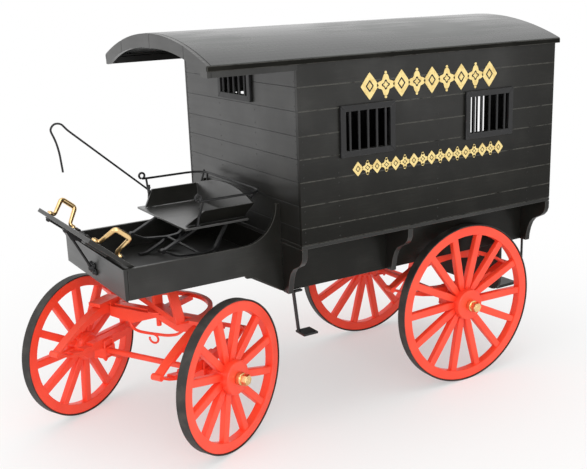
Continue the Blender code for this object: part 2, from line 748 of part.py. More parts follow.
def whip():
    """The driver's whip: its foot is clipped to the far end of the seat, its lash hangs from a bent tip."""
    x = -(SEAT_HALF + RAIL_FLARE + RAIL_R + GAP + WHIP_R)
    front = SEAT_FRONT_Y
    foot = SEAT_Z - 1.4 * MM
    # Millimetres behind the seat's front edge and above the whip's foot
    reach = [(30, 0), (-53.5, 74.5), (-58, 80.2), (-64, 80.8), (-68, 76.1)]
    reach += [(-63.8, 65.5), (-61.7, 55.0), (-60.4, 38.8)]
    points = [(x, front + y * MM, foot + z * MM) for y, z in reach]
    made = rod("whip", points, WHIP_R, sides=8, bend=5 * MM, colour=IRON)
    low = (x - WHIP_R, front + 26 * MM, SEAT_Z - SEAT_THICK + 0.2 * MM)
    high = (-SEAT_HALF - GAP, front + 32 * MM, SEAT_Z - 0.2 * MM)
    return fuse(made, box("join_whip_clip", low, high))


# Steps


def side_step():
    """A hanging step iron with a square tread, in front of the well on the left."""
    x = BODY_HALF + 0.9 * MM
    y = VAN_FRONT_Y + 9 * MM
    top = WELL_BOTTOM_Z - GAP - 0.8 * MM
    iron = [(x, y + 8 * MM, top), (x, y, top), (x, y + 4 * MM, STEP_Z), (x, y + 12 * MM, STEP_Z)]
    made = strap("step_left", iron, 3.4 * MM, 1.6 * MM, bend=2 * MM, colour=IRON)
    low = (BODY_HALF - 2.6 * MM, y + 3 * MM, STEP_Z - 0.9 * MM)
    high = (BODY_HALF + 11.4 * MM, y + 17 * MM, STEP_Z + 0.9 * MM)
    return fuse(made, box("join_step", low, high))


def rear_step():
    """A drop board under the tail with a tread behind it, stayed by irons at both ends."""
    top = WELL_BOTTOM_Z - GAP
    half = 47 * MM
    low = top - 59.2 * MM
    corner = 10 * MM
    y = VAN_REAR_Y - 10 * MM
    outline = [(-half, top), (-half, low + corner)]
    outline += arc((-half + corner, low + corner), corner, 180, 270, 4)
    outline += arc((half - corner, low + corner), corner, 270, 360, 4)
    outline += [(half, top)]
    made = prism("rear_step", outline, "y", y, y + 3 * MM)
    wide = half - 4 * MM
    tread = box("join_tread", (-wide, y + 2 * MM, low + 1 * MM), (wide, y + 28 * MM, low + 4 * MM))
    return fuse(made, tread)


# Running gear


def wheel_at(name, radius, spokes):
    """Hub, tapered dished spokes and felloe as one body about the X axis, outboard toward +X."""
    rim_out = radius - TYRE_THICK - GAP
    rim_in = rim_out - FELLOE_DEPTH
    half = FELLOE_WIDTH / 2
    bevel = 0.8 * MM
    rim = [(rim_out, -half), (rim_out, half), (rim_in + bevel, half), (rim_in, half - bevel)]
    rim += [(rim_in, -half + bevel), (rim_in + bevel, -half)]
    felloe = turned(name, rim, sides=48, colour=RED, roughness=0.4)
    bore = SPINDLE_R + 0.35 * MM
    hub = [(bore, -13 * MM), (10.5 * MM, -13 * MM), (10.5 * MM, -9.5 * MM), (12.6 * MM, -8.5 * MM)]
    hub += [(HUB_R - 1 * MM, 1.5 * MM), (HUB_R, 2.5 * MM), (HUB_R, 6.4 * MM)]
    hub += [(HUB_R - 1.2 * MM, 7.6 * MM), (bore, 7.6 * MM)]
    core = turned(f"join_{name}_hub", hub, sides=28)
    quarter = [(1, 0.45), (0.45, 1), (-0.45, 1), (-1, 0.45)]
    section = quarter + [(-u, -v) for u, v in quarter]
    builder = bmesh.new()
    foot = HUB_R - 2.9 * MM
    # A spoke's foot stays clear of its neighbours', or the feet would run into each other
    room = 1.86 * foot * math.tan(math.pi / spokes) / SPOKE_WIDE
    for i in range(spokes):
        spin = Matrix.Rotation(2 * math.pi * (i + 0.5) / spokes, 4, "Z")
        loops = []
        for r, share in ((foot, min(0.92, room)), (HUB_R + 6 * MM, 1.0), (rim_in + 3 * MM, 0.86)):
            lean = -DISH * (1 - (r - foot) / (rim_in + 3 * MM - foot))
            wide, thick = SPOKE_WIDE * share / 2, SPOKE_THICK * max(share, 0.86) / 2
            loops.append([spin @ Vector((r, u * wide, v * thick + lean)) for u, v in section])
        shape_loop(builder, loops)
    rays = add_object(f"join_{name}_spokes", builder)
    fuse(felloe, rays, core)
    return felloe


def to_axle(side, centre, swing=0.0):
    """Sends a shape turned about Z to one about the axle, its +Z end outboard."""
    out = Matrix.Rotation(side * math.pi / 2, 4, "Y")
    return Matrix.Translation(centre) @ Matrix.Rotation(swing, 4, "Z") @ out


def wheel_set(label, side, radius, spokes, matrix):
    """Wheel, tyre and brass nut of one corner."""
    place_group(wheel_at(f"wheel_{label}", radius, spokes), matrix)
    half = TYRE_WIDTH / 2
    inner = radius - TYRE_THICK
    edge = 0.4 * MM
    band = [(radius, -half + edge), (radius, half - edge), (radius - edge, half)]
    band += [(inner, half), (inner, -half), (radius - edge, -half)]
    tyre = turned(f"tyre_{label}", band, sides=64, colour=IRON)
    tyre.matrix_world = matrix
    base = 7.6 * MM + GAP
    nut = [(0, base), (6.2 * MM, base), (6.2 * MM, base + 3.2 * MM), (5.4 * MM, base + 4.0 * MM)]
    nut += [(4.3 * MM, base + 4.2 * MM), (4.3 * MM, base + 9.0 * MM)]
    nut += [(3.4 * MM, base + 9.8 * MM), (0, base + 9.8 * MM)]
    cap = spun(f"nut_{label}", nut, sides=16, colour=BRASS, metallic=1.0, roughness=0.3)
    cap.matrix_world = matrix


def axle_bar(name, blocks_at):
    """A round axle with turned-down spindles and a flat seat under each spring, along X at the origin."""
    reach = WHEEL_X + 7.6 * MM
    shoulder = WHEEL_X - 13 * MM - GAP
    profile = [(0, -reach), (SPINDLE_R, -reach), (SPINDLE_R, -shoulder), (AXLE_R, -shoulder)]
    profile += [(AXLE_R, shoulder), (SPINDLE_R, shoulder), (SPINDLE_R, reach), (0, reach)]
    made = spun(name, profile, sides=16, colour=RED)
    made.data.transform(Matrix.Rotation(math.pi / 2, 4, "Y"))
    for i, x in enumerate(blocks_at):
        corner = (x + SEAT_BLOCK, 7 * MM, 4.0 * MM)
        fuse(made, box(f"join_{name}_{i}", (x - SEAT_BLOCK, -7 * MM, -4.5 * MM), corner))
    return made


def leaf_path(half, low, high, power=2.0, steps=12):
    """Half of an elliptic spring: a bow through its two ends and its middle."""
    made = []
    for i in range(steps + 1):
        t = -1 + 2 * i / steps
        made.append((0, half * t, low + (high - low) * abs(t) ** power))
    return made


def elliptic_spring(name, half, low, eye, high, bows=(2.0, 2.0)):
    """A full elliptic spring in the YZ plane: two bows of leaves that meet in an eye at each end.
    The bows are the powers of the lower and the upper curve: 1 is straight, more is rounder."""
    made = strap(name, leaf_path(half, low, eye, bows[0]), LEAF_WIDE, LEAF_THICK, colour=RED)
    fuse(made, strap(f"join_{name}_up", leaf_path(half, high, eye, bows[1]), LEAF_WIDE, LEAF_THICK))
    for i, share in enumerate((0.72, 0.5, 0.3)):
        down = LEAF_THICK * 0.96 * (i + 1)
        for side, middle, power in ((1, low, bows[0]), (-1, high, bows[1])):
            reach = middle + (eye - middle) * share**power
            path = leaf_path(half * share, middle + side * down, reach + side * down, power, 6)
            fuse(made, strap(f"join_{name}_{i}_{side}", path, LEAF_WIDE * 0.97, LEAF_THICK))
    for i, end in enumerate((-half, half)):
        profile = round_bar(EYE_R, -LEAF_WIDE * EYE_SHARE, LEAF_WIDE * EYE_SHARE)
        roll = spun(f"join_{name}_eye_{i}", profile, sides=12)
        roll.data.transform(Matrix.Translation((0, end, eye)) @ Matrix.Rotation(math.pi / 2, 4, "Y"))
        fuse(made, roll)
    return made


def rear_gear():
    centre = Vector((0, REAR_AXLE_Y, REAR_WHEEL_R))
    axle = axle_bar("rear_axle", (-SPRING_X, SPRING_X))
    place_group(axle, Matrix.Translation(centre))
    low = REAR_WHEEL_R + 4.0 * MM + GAP + LEAF_THICK * 0.5
    high = WELL_BOTTOM_Z - GAP - LEAF_THICK * 0.5
    eye = (low + high) / 2 - 3.5 * MM
    for side, label in ((1, "left"), (-1, "right")):
        made = elliptic_spring(f"rear_spring_{label}", SPRING_HALF, low, eye, high)
        place_group(made, Matrix.Translation((side * SPRING_X, REAR_AXLE_Y, 0)))
        matrix = to_axle(side, (side * WHEEL_X, REAR_AXLE_Y, REAR_WHEEL_R))
        wheel_set(f"rear_{label}", side, REAR_WHEEL_R, REAR_SPOKES, matrix)


def half_ring(name, low, **finish):
    """The rear half of a flat ring about the Z axis."""
    outer, inner = RING_R + RING_WIDE / 2, RING_R - RING_WIDE / 2
    outline = arc((0, 0), outer, 0, 180, 24) + arc((0, 0), inner, 180, 0, 24)
    return prism(name, outline, "z", low, low + RING_THICK, **finish)


def body_bolster():
    """The fixed upper half ring, the truss that carries the box on it and the king pin."""
    low = RING_Z + RING_THICK + GAP
    top = BOX_BOTTOM_Z - GAP
    half = RING_R + RING_WIDE * 0.3
    beam = low + BEAM_DEEP + 1.4 * MM
    made = half_ring("body_bolster", low, colour=RED)
    foot = half * 0.62
    truss = [(-half, low), (half, low), (half, beam), (foot, top), (-foot, top), (-half, beam)]
    made_truss = prism("join_truss", truss, "y", -TRUSS_HALF, TRUSS_HALF)
    post = 2.6 * MM
    head = top - 3.5 * MM
    brace = 4.5 * MM
    for side in (-1, 1):
        space = [(side * post, beam), (side * (half - brace), beam)]
        space += [(side * (foot - brace + 1.0 * MM), head), (side * post, head)]
        cut(made_truss, prism(f"cut_truss_{side}", space, "y", -2 * TRUSS_HALF, 2 * TRUSS_HALF))
    pin_low, pin_high = RING_Z - 13 * MM, beam - 1 * MM
    pin = spun("join_king_pin", round_bar(PIN_R, pin_low, pin_high), sides=12)
    fuse(made, made_truss, pin)
    matrix = Matrix.Translation((0, KING_PIN_Y, 0))
    for modifier in made_truss.modifiers:
        modifier.object.matrix_world = matrix
    place_group(made, matrix)


def fifth_wheel():
    """The lower half ring with its cross bar, its rear arm and the bored plate about the pin."""
    made = half_ring("fifth_wheel", RING_Z, colour=RED)
    high = RING_Z + RING_THICK
    half = RING_R + RING_WIDE * 0.3
    bore = PIN_R + 0.4 * MM
    disc = 9 * MM
    outline = [(bore, RING_Z), (disc, RING_Z), (disc, high), (bore, high)]
    plate = turned("join_fifth_plate", outline, sides=20)
    skin = 0.1 * MM
    bars = []
    for i, side in enumerate((-1, 1)):
        near, far = sorted((side * (disc - 2 * MM), side * half))
        low = (near, -3.5 * MM, RING_Z + skin)
        bars.append(box(f"join_fifth_bar_{i}", low, (far, 3.5 * MM, high - skin)))
    end, under = RING_R + 1 * MM, RING_Z - 3.6 * MM
    arm = [(disc - 2 * MM, RING_Z + skin), (disc - 2 * MM, high - skin), (end, high - skin)]
    arm += [(end, under), (disc + 7 * MM, under)]
    return fuse(made, plate, *bars, prism("join_fifth_arm", arm, "x", -3.2 * MM, 3.2 * MM))


def front_bolster():
    """The arched bolster under the lower ring: its ends step up to lie on the crowns of the two
    springs, and a wavy stay with a hook hangs between its legs. Built about the pin."""
    top = RING_Z - GAP
    seat = FRONT_SPRING_TOP + GAP
    cap = seat + 3.4 * MM
    inner = FRONT_SPRING_X - LEAF_WIDE * EYE_SHARE - GAP
    step = RING_R + RING_WIDE / 2 + GAP
    outer = FRONT_SPRING_X + SEAT_BLOCK + 1.5 * MM
    ledge = seat - 0.8 * MM
    leg, knee, crown = top - 12.0 * MM, 24 * MM, top - 3.2 * MM
    right = [(step, top), (step, cap), (outer, cap), (outer, ledge), (inner, ledge), (inner, leg + 3 * MM)]
    right.append((knee, leg))
    outline = right + [(2 * MM, crown)] + [(-x, z) for x, z in reversed(right)]
    made = prism("front_bolster", outline, "y", -6.8 * MM, 5.2 * MM, colour=RED)
    ahead = -AXLE_LEAD
    for i, side in enumerate((-1, 1)):
        ends = sorted((side * (step + 0.3 * MM), side * (outer - 0.2 * MM)))
        fuse(made, box(f"join_saddle_{i}", (ends[0], ahead - 7 * MM, seat), (ends[1], 0, cap - 0.2 * MM)))
    wave = [(30, 3), (25, -1.5), (19, -6), (8, -8.8), (-13, -9.9), (-23, -10), (-30, -8), (-36, 4)]
    fuse(made, rod("join_wave", [(x * MM, 0, leg + z * MM) for x, z in wave], 1.3 * MM, sides=8, bend=5 * MM))
    hook = [(-7 + 4.8 * x, -14.0 + 4.0 * z) for x, z in arc((0, 0), 1.0, 90, -190, 9)]
    fuse(made, rod("join_hook", [(x * MM, 0, leg + z * MM) for x, z in hook], 1.0 * MM, sides=8))
    hole_r = PIN_R + 0.4 * MM
    hole = spun("cut_front_bolster", round_bar(hole_r, leg - 3 * MM, top + 20 * MM), sides=12)
    return cut(made, hole)


def front_gear():
    """Everything that turns with the pole: built straight about the pin, then swung to its rest."""
    swing = Matrix.Translation((0, KING_PIN_Y, 0)) @ Matrix.Rotation(STEER_REST, 4, "Z")
    ahead = -AXLE_LEAD
    place_group(fifth_wheel(), swing)
    place_group(front_bolster(), swing)
    axle = axle_bar("front_axle", (-FRONT_SPRING_X, FRONT_SPRING_X))
    place_group(axle, swing @ Matrix.Translation((0, ahead, FRONT_WHEEL_R)))
    low = FRONT_WHEEL_R + 4.0 * MM + GAP + LEAF_THICK * 0.5
    high = FRONT_SPRING_TOP - LEAF_THICK * 0.5
    eye = low + 12.0 * MM
    for side, label in ((1, "left"), (-1, "right")):
        made = elliptic_spring(f"front_spring_{label}", FRONT_SPRING_HALF, low, eye, high, (3.0, 1.4))
        place_group(made, swing @ Matrix.Translation((side * FRONT_SPRING_X, ahead, 0)))
        centre = swing @ Vector((side * WHEEL_X, ahead, FRONT_WHEEL_R))
        matrix = to_axle(side, centre, STEER_REST)
        wheel_set(f"front_{label}", side, FRONT_WHEEL_R, FRONT_SPOKES, matrix)


def main():
    clear_scene()
    sill_side("side_board_left", 1)
    sill_side("side_board_right", -1)
    body_boards()
    for side, label in ((1, "left"), (-1, "right")):
        for y, place in ((VAN_FRONT_Y, "front"), (BRACKET_MIDDLE_Y, "middle"), (VAN_REAR_Y - 5 * MM, "rear")):
            scroll_bracket(f"bracket_{label}_{place}", side, y)
        van_side(f"van_side_{label}", side)
    van_floor()
    van_front()
    van_rear()
    roof()
    roof_fascia()
    side_windows()
    front_window()
    rear_door()
    toe_board()
    toe_brace()
    toe_handle("toe_handle_left", 1)
    toe_handle("toe_handle_right", -1)
    seat_board()
    seat_panels()
    seat_rail()
    seat_irons()
    whip()
    side_step()
    rear_step()
    body_bolster()
    rear_gear()
    front_gear()


main()
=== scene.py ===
# %% [markdown]
# A jail wagon, dressed in paint, iron and brass
#
# This lesson takes the solids of a wagon model, built elsewhere as a plain assembly, and gives
# them what the eye expects of the real one: separate boards with eased edges, brushed paint,
# forged irons, turned wheels and polished nuts. The solids are loaded first, because every new
# piece takes its place and size from them. Lengths are in metres. The wagon's front looks
# toward -Y and its left side toward +X.

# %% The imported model
import json
import math

import bmesh
import bpy
from mathutils import Matrix, Vector

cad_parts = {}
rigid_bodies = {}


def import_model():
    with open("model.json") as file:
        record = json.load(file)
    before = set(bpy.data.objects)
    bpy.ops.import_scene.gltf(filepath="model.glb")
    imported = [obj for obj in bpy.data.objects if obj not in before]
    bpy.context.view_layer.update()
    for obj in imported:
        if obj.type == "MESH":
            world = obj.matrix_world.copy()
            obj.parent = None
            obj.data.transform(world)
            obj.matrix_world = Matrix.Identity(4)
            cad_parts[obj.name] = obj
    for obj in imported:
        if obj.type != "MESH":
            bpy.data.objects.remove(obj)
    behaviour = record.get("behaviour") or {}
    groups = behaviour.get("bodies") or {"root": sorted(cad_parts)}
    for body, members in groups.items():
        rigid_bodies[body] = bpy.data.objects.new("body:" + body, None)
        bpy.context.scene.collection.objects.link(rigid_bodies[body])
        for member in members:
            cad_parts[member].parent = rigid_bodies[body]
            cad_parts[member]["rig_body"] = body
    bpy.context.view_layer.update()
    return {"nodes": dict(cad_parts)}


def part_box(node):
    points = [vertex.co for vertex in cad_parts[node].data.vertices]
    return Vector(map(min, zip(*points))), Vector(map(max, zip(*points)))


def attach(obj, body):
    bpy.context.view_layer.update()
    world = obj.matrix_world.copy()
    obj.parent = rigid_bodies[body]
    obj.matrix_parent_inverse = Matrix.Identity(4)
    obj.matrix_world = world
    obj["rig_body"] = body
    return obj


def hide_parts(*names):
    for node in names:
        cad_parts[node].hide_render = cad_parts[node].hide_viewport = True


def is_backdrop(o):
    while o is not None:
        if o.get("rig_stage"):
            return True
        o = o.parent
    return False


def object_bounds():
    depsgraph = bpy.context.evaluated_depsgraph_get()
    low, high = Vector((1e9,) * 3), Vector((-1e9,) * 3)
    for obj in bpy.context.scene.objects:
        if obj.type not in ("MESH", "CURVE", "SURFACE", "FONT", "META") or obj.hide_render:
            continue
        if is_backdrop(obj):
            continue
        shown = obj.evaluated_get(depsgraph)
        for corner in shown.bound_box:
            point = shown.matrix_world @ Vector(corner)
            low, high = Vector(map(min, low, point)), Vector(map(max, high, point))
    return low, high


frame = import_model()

MM = 0.001
NODES = frame["nodes"]

# %% [markdown]
# The camera stands off the left fore wheel, a little above the roof. A new camera looks
# straight down along its own -Z axis, so three turns aim it: a roll about that axis, a tip
# up toward the horizon, and a turn about the vertical. A lens is given as a focal length on
# a 36 mm wide sensor. The Standard view shows each colour as it is, so that a white sheet in
# white light comes out white.

# %% Camera
CAMERA_PLACE = Vector((0.700, -0.4175, 0.3689))
CAMERA_TURN = math.radians(59.08)
CAMERA_DOWN = math.radians(15.09)
CAMERA_ROLL = math.radians(-2.02)
LENS = 56.19
SENSOR = 36

camera = bpy.data.objects.new("camera", bpy.data.cameras.new("camera"))
camera.data.lens = LENS
camera.data.sensor_width = SENSOR
camera.data.clip_end = 20
turned = Matrix.Rotation(CAMERA_TURN, 4, "Z")
tipped = Matrix.Rotation(math.pi / 2 - CAMERA_DOWN, 4, "X")
rolled = Matrix.Rotation(CAMERA_ROLL, 4, "Z")
camera.matrix_world = Matrix.Translation(CAMERA_PLACE) @ turned @ tipped @ rolled
bpy.context.scene.collection.objects.link(camera)
bpy.context.scene.camera = camera
bpy.context.scene.view_settings.view_transform = "Standard"
print("camera distance in mm", round(CAMERA_PLACE.length / MM))

# %% [markdown]
# A material in Blender is a net of nodes. Written one call at a time, even a short sum takes
# many lines, so a small class wraps a socket and lets Python's own signs build the Math
# nodes. A second class is the net, and makes every other node through one method: the node's
# type, then its settings, then what goes into its sockets. The third is the net of one
# material, with its shader.

# %% Shader helpers


class Flow:
    """A value that comes out of a node. Sums with numbers and other flows add Math nodes."""

    def __init__(self, net, socket):
        self.net = net
        self.socket = socket

    def maths(self, operation, first, second):
        return self.net.node("ShaderNodeMath", {"operation": operation}, {0: first, 1: second})

    def __add__(self, other):
        return self.maths("ADD", self, other)

    def __sub__(self, other):
        return self.maths("SUBTRACT", self, other)

    def __rsub__(self, other):
        return self.maths("SUBTRACT", other, self)

    def __mul__(self, other):
        return self.maths("MULTIPLY", self, other)

    __radd__ = __add__
    __rmul__ = __mul__

    def between(self, low, high):
        """0 below low, 1 above high, and a smooth step in the middle."""
        sockets = {"Value": self, "From Min": low, "From Max": high}
        return self.net.node("ShaderNodeMapRange", {"interpolation_type": "SMOOTHSTEP"}, sockets)


class Net:
    """A net of shader nodes, with the one method that adds a node to it."""

    def __init__(self, tree):
        self.tree = tree
        self.tree.nodes.clear()

    def feed(self, socket, value):
        if isinstance(value, Flow):
            self.tree.links.new(value.socket, socket)
        elif socket.type == "RGBA" and len(value) == 3:
            socket.default_value = (*value, 1.0)
        else:
            socket.default_value = value

    def node(self, kind, settings=None, sockets=None, out=0):
        made = self.tree.nodes.new(kind)
        for name, value in (settings or {}).items():
            setattr(made, name, value)
        for name, value in (sockets or {}).items():
            self.feed(made.inputs[name], value)
        return Flow(self, made.outputs[out])


class Finish(Net):
    """One material, with a Principled shader whose sockets are filled by name."""

    def __init__(self, name):
        self.material = bpy.data.materials.new(name)
        self.material.use_nodes = True
        super().__init__(self.material.node_tree)
        self.shader = self.tree.nodes.new("ShaderNodeBsdfPrincipled")
        self.output = self.tree.nodes.new("ShaderNodeOutputMaterial")
        self.tree.links.new(self.shader.outputs[0], self.output.inputs["Surface"])

    def mix(self, amount, first, second):
        """A colour between two others."""
        sockets = {0: amount, 6: first, 7: second}
        return self.node("ShaderNodeMix", {"data_type": "RGBA"}, sockets, out=2)

    def place(self, stretch=(1, 1, 1), shift=None):
        """The point of the surface in the wagon's own space, stretched, and moved by a flow."""
        spot = self.node("ShaderNodeTexCoord", out=3)
        spot = self.node("ShaderNodeVectorMath", {"operation": "MULTIPLY"}, {0: spot, 1: stretch})
        if shift is None:
            return spot
        return self.node("ShaderNodeVectorMath", {"operation": "ADD"}, {0: spot, 1: shift})

    def place_part(self, axis):
        """Where the surface is along one axis: 0 for X, 1 for Y, 2 for its height."""
        return self.node("ShaderNodeSeparateXYZ", None, {0: self.place()}, out=axis)

    def noise(self, scale, detail=4.0, roughness=0.5, stretch=(1, 1, 1), shift=None):
        spot = self.place(stretch, shift)
        sockets = {"Vector": spot, "Scale": scale, "Detail": detail, "Roughness": roughness}
        return self.node("ShaderNodeTexNoise", None, sockets)

    def mark(self, name):
        """A number that the mesh carries on its faces."""
        return self.node("ShaderNodeAttribute", {"attribute_name": name}, out=2)

    def bump(self, height, depth):
        return self.node("ShaderNodeBump", None, {"Height": height, "Strength": 1.0, "Distance": depth})

    def set(self, **values):
        for name, value in values.items():
            self.feed(self.shader.inputs[name.replace("_", " ")], value)
        return self.material


print("helpers", Flow.__name__, Net.__name__, Finish.__name__)

# %% [markdown]
# Black paint on wood is never one flat black. The brush leaves fine ridges along the grain,
# the boards take the paint differently, and the edges are rubbed to a dull grey, which is also
# a painted highlight where the light catches them. Each board carries two numbers on its
# faces: its own random shade, and whether a face is an eased edge.
# The grain is a noise stretched twenty times along the board, and the shade moves it, so that
# it never runs on from one board to the next.

# %% Painted wood
BLACK_DEEP = (0.0085, 0.0083, 0.0070)
BLACK_WORN = (0.0210, 0.0205, 0.0175)
# The edge colours stand for rubbed wear; the paler ones are also a painted highlight where the light catches
# the eased edges.
BLACK_EDGE_WEAR_AND_HIGHLIGHT = (0.075, 0.073, 0.066)
SEAM_WEAR_AND_HIGHLIGHT = (0.100, 0.098, 0.086)
FRONT_EDGE = (0.03, 0.03, 0.03)
SEAT_EDGE_WEAR_AND_HIGHLIGHT = (0.16, 0.16, 0.155)
ALONG_GRAIN = 0.05
VARNISH_LOW, VARNISH_HIGH = 165.0 * MM, 285.0 * MM
FADE = (120.0 * MM, 225.0 * MM)
BOX_FADE = (-125.0 * MM, -60.0 * MM)


def painted_wood(
    name, along, varnish=(0.55, 0.60), edge=BLACK_EDGE_WEAR_AND_HIGHLIGHT, gloss=0.40, rub_and_highlight=0.75, shine=0.22, fade=FADE
):
    """Paint on boards whose grain runs along one axis: 0 for X, 1 for Y, 2 for Z.

    varnish is the coat's weight low down on the wagon and high up; it thins out toward the
    tail, between the two places that fade gives. rub is how far the eased edges take on the
    edge's colour, which stands for rubbed wear and also for a painted highlight where the light
    catches them, and shine is how strongly the paint under the varnish reflects.
    """
    made = Finish(name)
    stretch = [ALONG_GRAIN if axis == along else 1.0 for axis in range(3)]
    shade = made.mark("board")
    fibres = made.noise(900.0, 6.0, 0.62, stretch, shade * 3.7)
    brush = made.noise(210.0, 3.0, 0.5, stretch, shade * 1.3)
    patches = made.noise(28.0, 3.0)
    specks = made.noise(640.0, 2.0).between(0.60, 0.70)
    wear = (0.6 * patches + 0.4 * fibres).between(0.47, 0.66)
    # The eased edges take on the edge colour: rubbed wear, and a painted highlight where the light catches
    # them.
    rubbed = made.mark("arris") * made.noise(90.0, 5.0, 0.65).between(0.30, 0.54)
    colour = made.mix(0.45 * wear + 0.28 * shade + 0.25 * specks, BLACK_DEEP, BLACK_WORN)
    colour = made.mix(rubbed * rub_and_highlight, colour, edge)
    rough = 0.18 * brush + 0.14 * patches + (gloss - 0.16) + 0.05 * shade
    relief = made.bump(0.6 * fibres + 0.4 * brush, 0.05 * MM)
    height = made.place_part(2).between(VARNISH_LOW, VARNISH_HIGH)
    low, high = varnish
    kept = 1.0 - 0.75 * made.place_part(1).between(*fade)
    coat = (low + height * (high - low)) * (0.55 + 0.9 * patches) * kept
    return made.set(
        Base_Color=colour,
        Roughness=rough,
        Normal=relief,
        Coat_Weight=coat,
        Coat_Roughness=0.30,
        Specular_IOR_Level=shine,
    )


BLACK_ALONG_X = painted_wood("black_paint_across", 0)
BLACK_ALONG_Y = painted_wood("black_paint_lengthwise", 1)
BLACK_ALONG_Z = painted_wood("black_paint_upright", 2)
SIDE_PAINT = painted_wood("side_board_paint", 1, (0.0, 0.66), SEAM_WEAR_AND_HIGHLIGHT, 0.42, 0.95, 0.10)
BOX_PAINT = painted_wood("box_paint", 1, (0.85, 0.85), gloss=0.42, shine=0.06, fade=BOX_FADE)
WELL_PAINT = painted_wood("well_paint", 1, (0.0, 0.0), gloss=0.58, shine=0.03)
FRONT_PAINT = painted_wood("front_board_paint", 0, (0.62, 0.70), FRONT_EDGE, 0.38)
SEAT_PAINT = painted_wood("seat_paint", 1, (1.0, 1.0), SEAT_EDGE_WEAR_AND_HIGHLIGHT, 0.30)
print("painted woods", SIDE_PAINT.name, BOX_PAINT.name, FRONT_PAINT.name, SEAT_PAINT.name)

# %% [markdown]
# The red of the running gear is an enamel: brighter, smoother and a little orange. It lies
# on turned wood and on small castings alike, so one finish serves both. Where the brush
# missed or hands have rubbed, the red is a shade deeper, and its surface has a faint orange
# peel.

# %% Red enamel
RED_BRIGHT = (1.0, 0.078, 0.033)
RED_DEEP = (0.86, 0.036, 0.015)


def red_enamel():
    made = Finish("red_enamel")
    cloud = made.noise(45.0)
    fine = made.noise(420.0, 3.0)
    colour = made.mix(0.38 * cloud.between(0.36, 0.74), RED_BRIGHT, RED_DEEP)
    colour = made.mix(made.mark("arris") * fine.between(0.5, 0.66) * 0.35, colour, RED_DEEP)
    relief = made.bump(0.7 * fine + 0.3 * cloud, 0.045 * MM)
    return made.set(Base_Color=colour, Roughness=0.16 * cloud + 0.1 * fine + 0.26, Normal=relief)


RED_PAINT = red_enamel()
print("red", RED_PAINT.name)

# %% [markdown]
# The metals. Blackened iron is nearly black, with a soft sheen broken by a hammered skin.
# The tyres are flat iron hoops, greyer and duller, scratched around by rolling. Brass is a
# bare metal: its colour is the colour of its reflection, its tarnish gathers in clouds, and
# fine polishing lines break the highlight. The gold ornament is gilding size, more paint
# than metal.

# %% Metals
IRON_BLACK = (0.014, 0.014, 0.0145)
IRON_RUBBED = (0.055, 0.055, 0.056)
TYRE_GREY = (0.022, 0.020, 0.018)
TYRE_DUST = (0.070, 0.062, 0.054)
BRASS_CLEAN = (0.89, 0.62, 0.30)
BRASS_DULL = (0.62, 0.40, 0.16)
GOLD_LIGHT = (0.87, 0.69, 0.29)
GOLD_DEEP = (0.66, 0.46, 0.15)


def black_iron():
    made = Finish("blackened_iron")
    skin = made.noise(320.0)
    cloud = made.noise(60.0, 3.0)
    rubbed = made.mark("arris") * cloud.between(0.45, 0.62) * 0.7 + 0.25 * skin.between(0.58, 0.72)
    colour = made.mix(rubbed, IRON_BLACK, IRON_RUBBED)
    rough = 0.2 * cloud + 0.1 * skin + 0.24
    relief = made.bump(skin, 0.06 * MM)
    return made.set(Base_Color=colour, Metallic=0.25, Roughness=rough, Normal=relief)


def tyre_iron():
    made = Finish("tyre_iron")
    skin = made.noise(520.0, 5.0, 0.6)
    dust = made.noise(75.0)
    settled = 0.6 * dust.between(0.42, 0.7) + 0.3 * skin.between(0.55, 0.7)
    colour = made.mix(settled, TYRE_GREY, TYRE_DUST)
    relief = made.bump(skin, 0.07 * MM)
    return made.set(Base_Color=colour, Metallic=0.1, Roughness=0.2 * dust + 0.5, Normal=relief)


def polished_brass():
    made = Finish("polished_brass")
    cloud = made.noise(140.0)
    lines = made.noise(330.0, 3.0, stretch=(1.0, 1.0, 14.0))
    colour = made.mix(0.7 * cloud.between(0.44, 0.72), BRASS_CLEAN, BRASS_DULL)
    rough = 0.18 * cloud + 0.12 * lines + 0.14
    relief = made.bump(lines, 0.02 * MM)
    return made.set(Base_Color=colour, Metallic=1.0, Roughness=rough, Normal=relief)


def gilding():
    made = Finish("gilding")
    cloud = made.noise(190.0, 5.0, 0.6)
    fine = made.noise(900.0, 3.0)
    colour = made.mix(0.7 * cloud.between(0.42, 0.7), GOLD_LIGHT, GOLD_DEEP)
    relief = made.bump(0.5 * fine + 0.5 * cloud, 0.05 * MM)
    return made.set(Base_Color=colour, Metallic=0.15, Roughness=0.2 * cloud + 0.34, Normal=relief)


IRON = black_iron()
TYRE = tyre_iron()
BRASS = polished_brass()
GOLD = gilding()
print("metals", IRON.name, TYRE.name, BRASS.name, GOLD.name)

# %% [markdown]
# The roof is canvas stretched over boards and painted. The paint fills the weave but never
# hides it, the brush ran from front to back, and the long streaks it left show when the
# light skims over the arch.

# %% Roof cloth
ROOF_DARK = (0.019, 0.020, 0.019)
ROOF_PALE = (0.062, 0.068, 0.063)
THREAD = 0.75 * MM


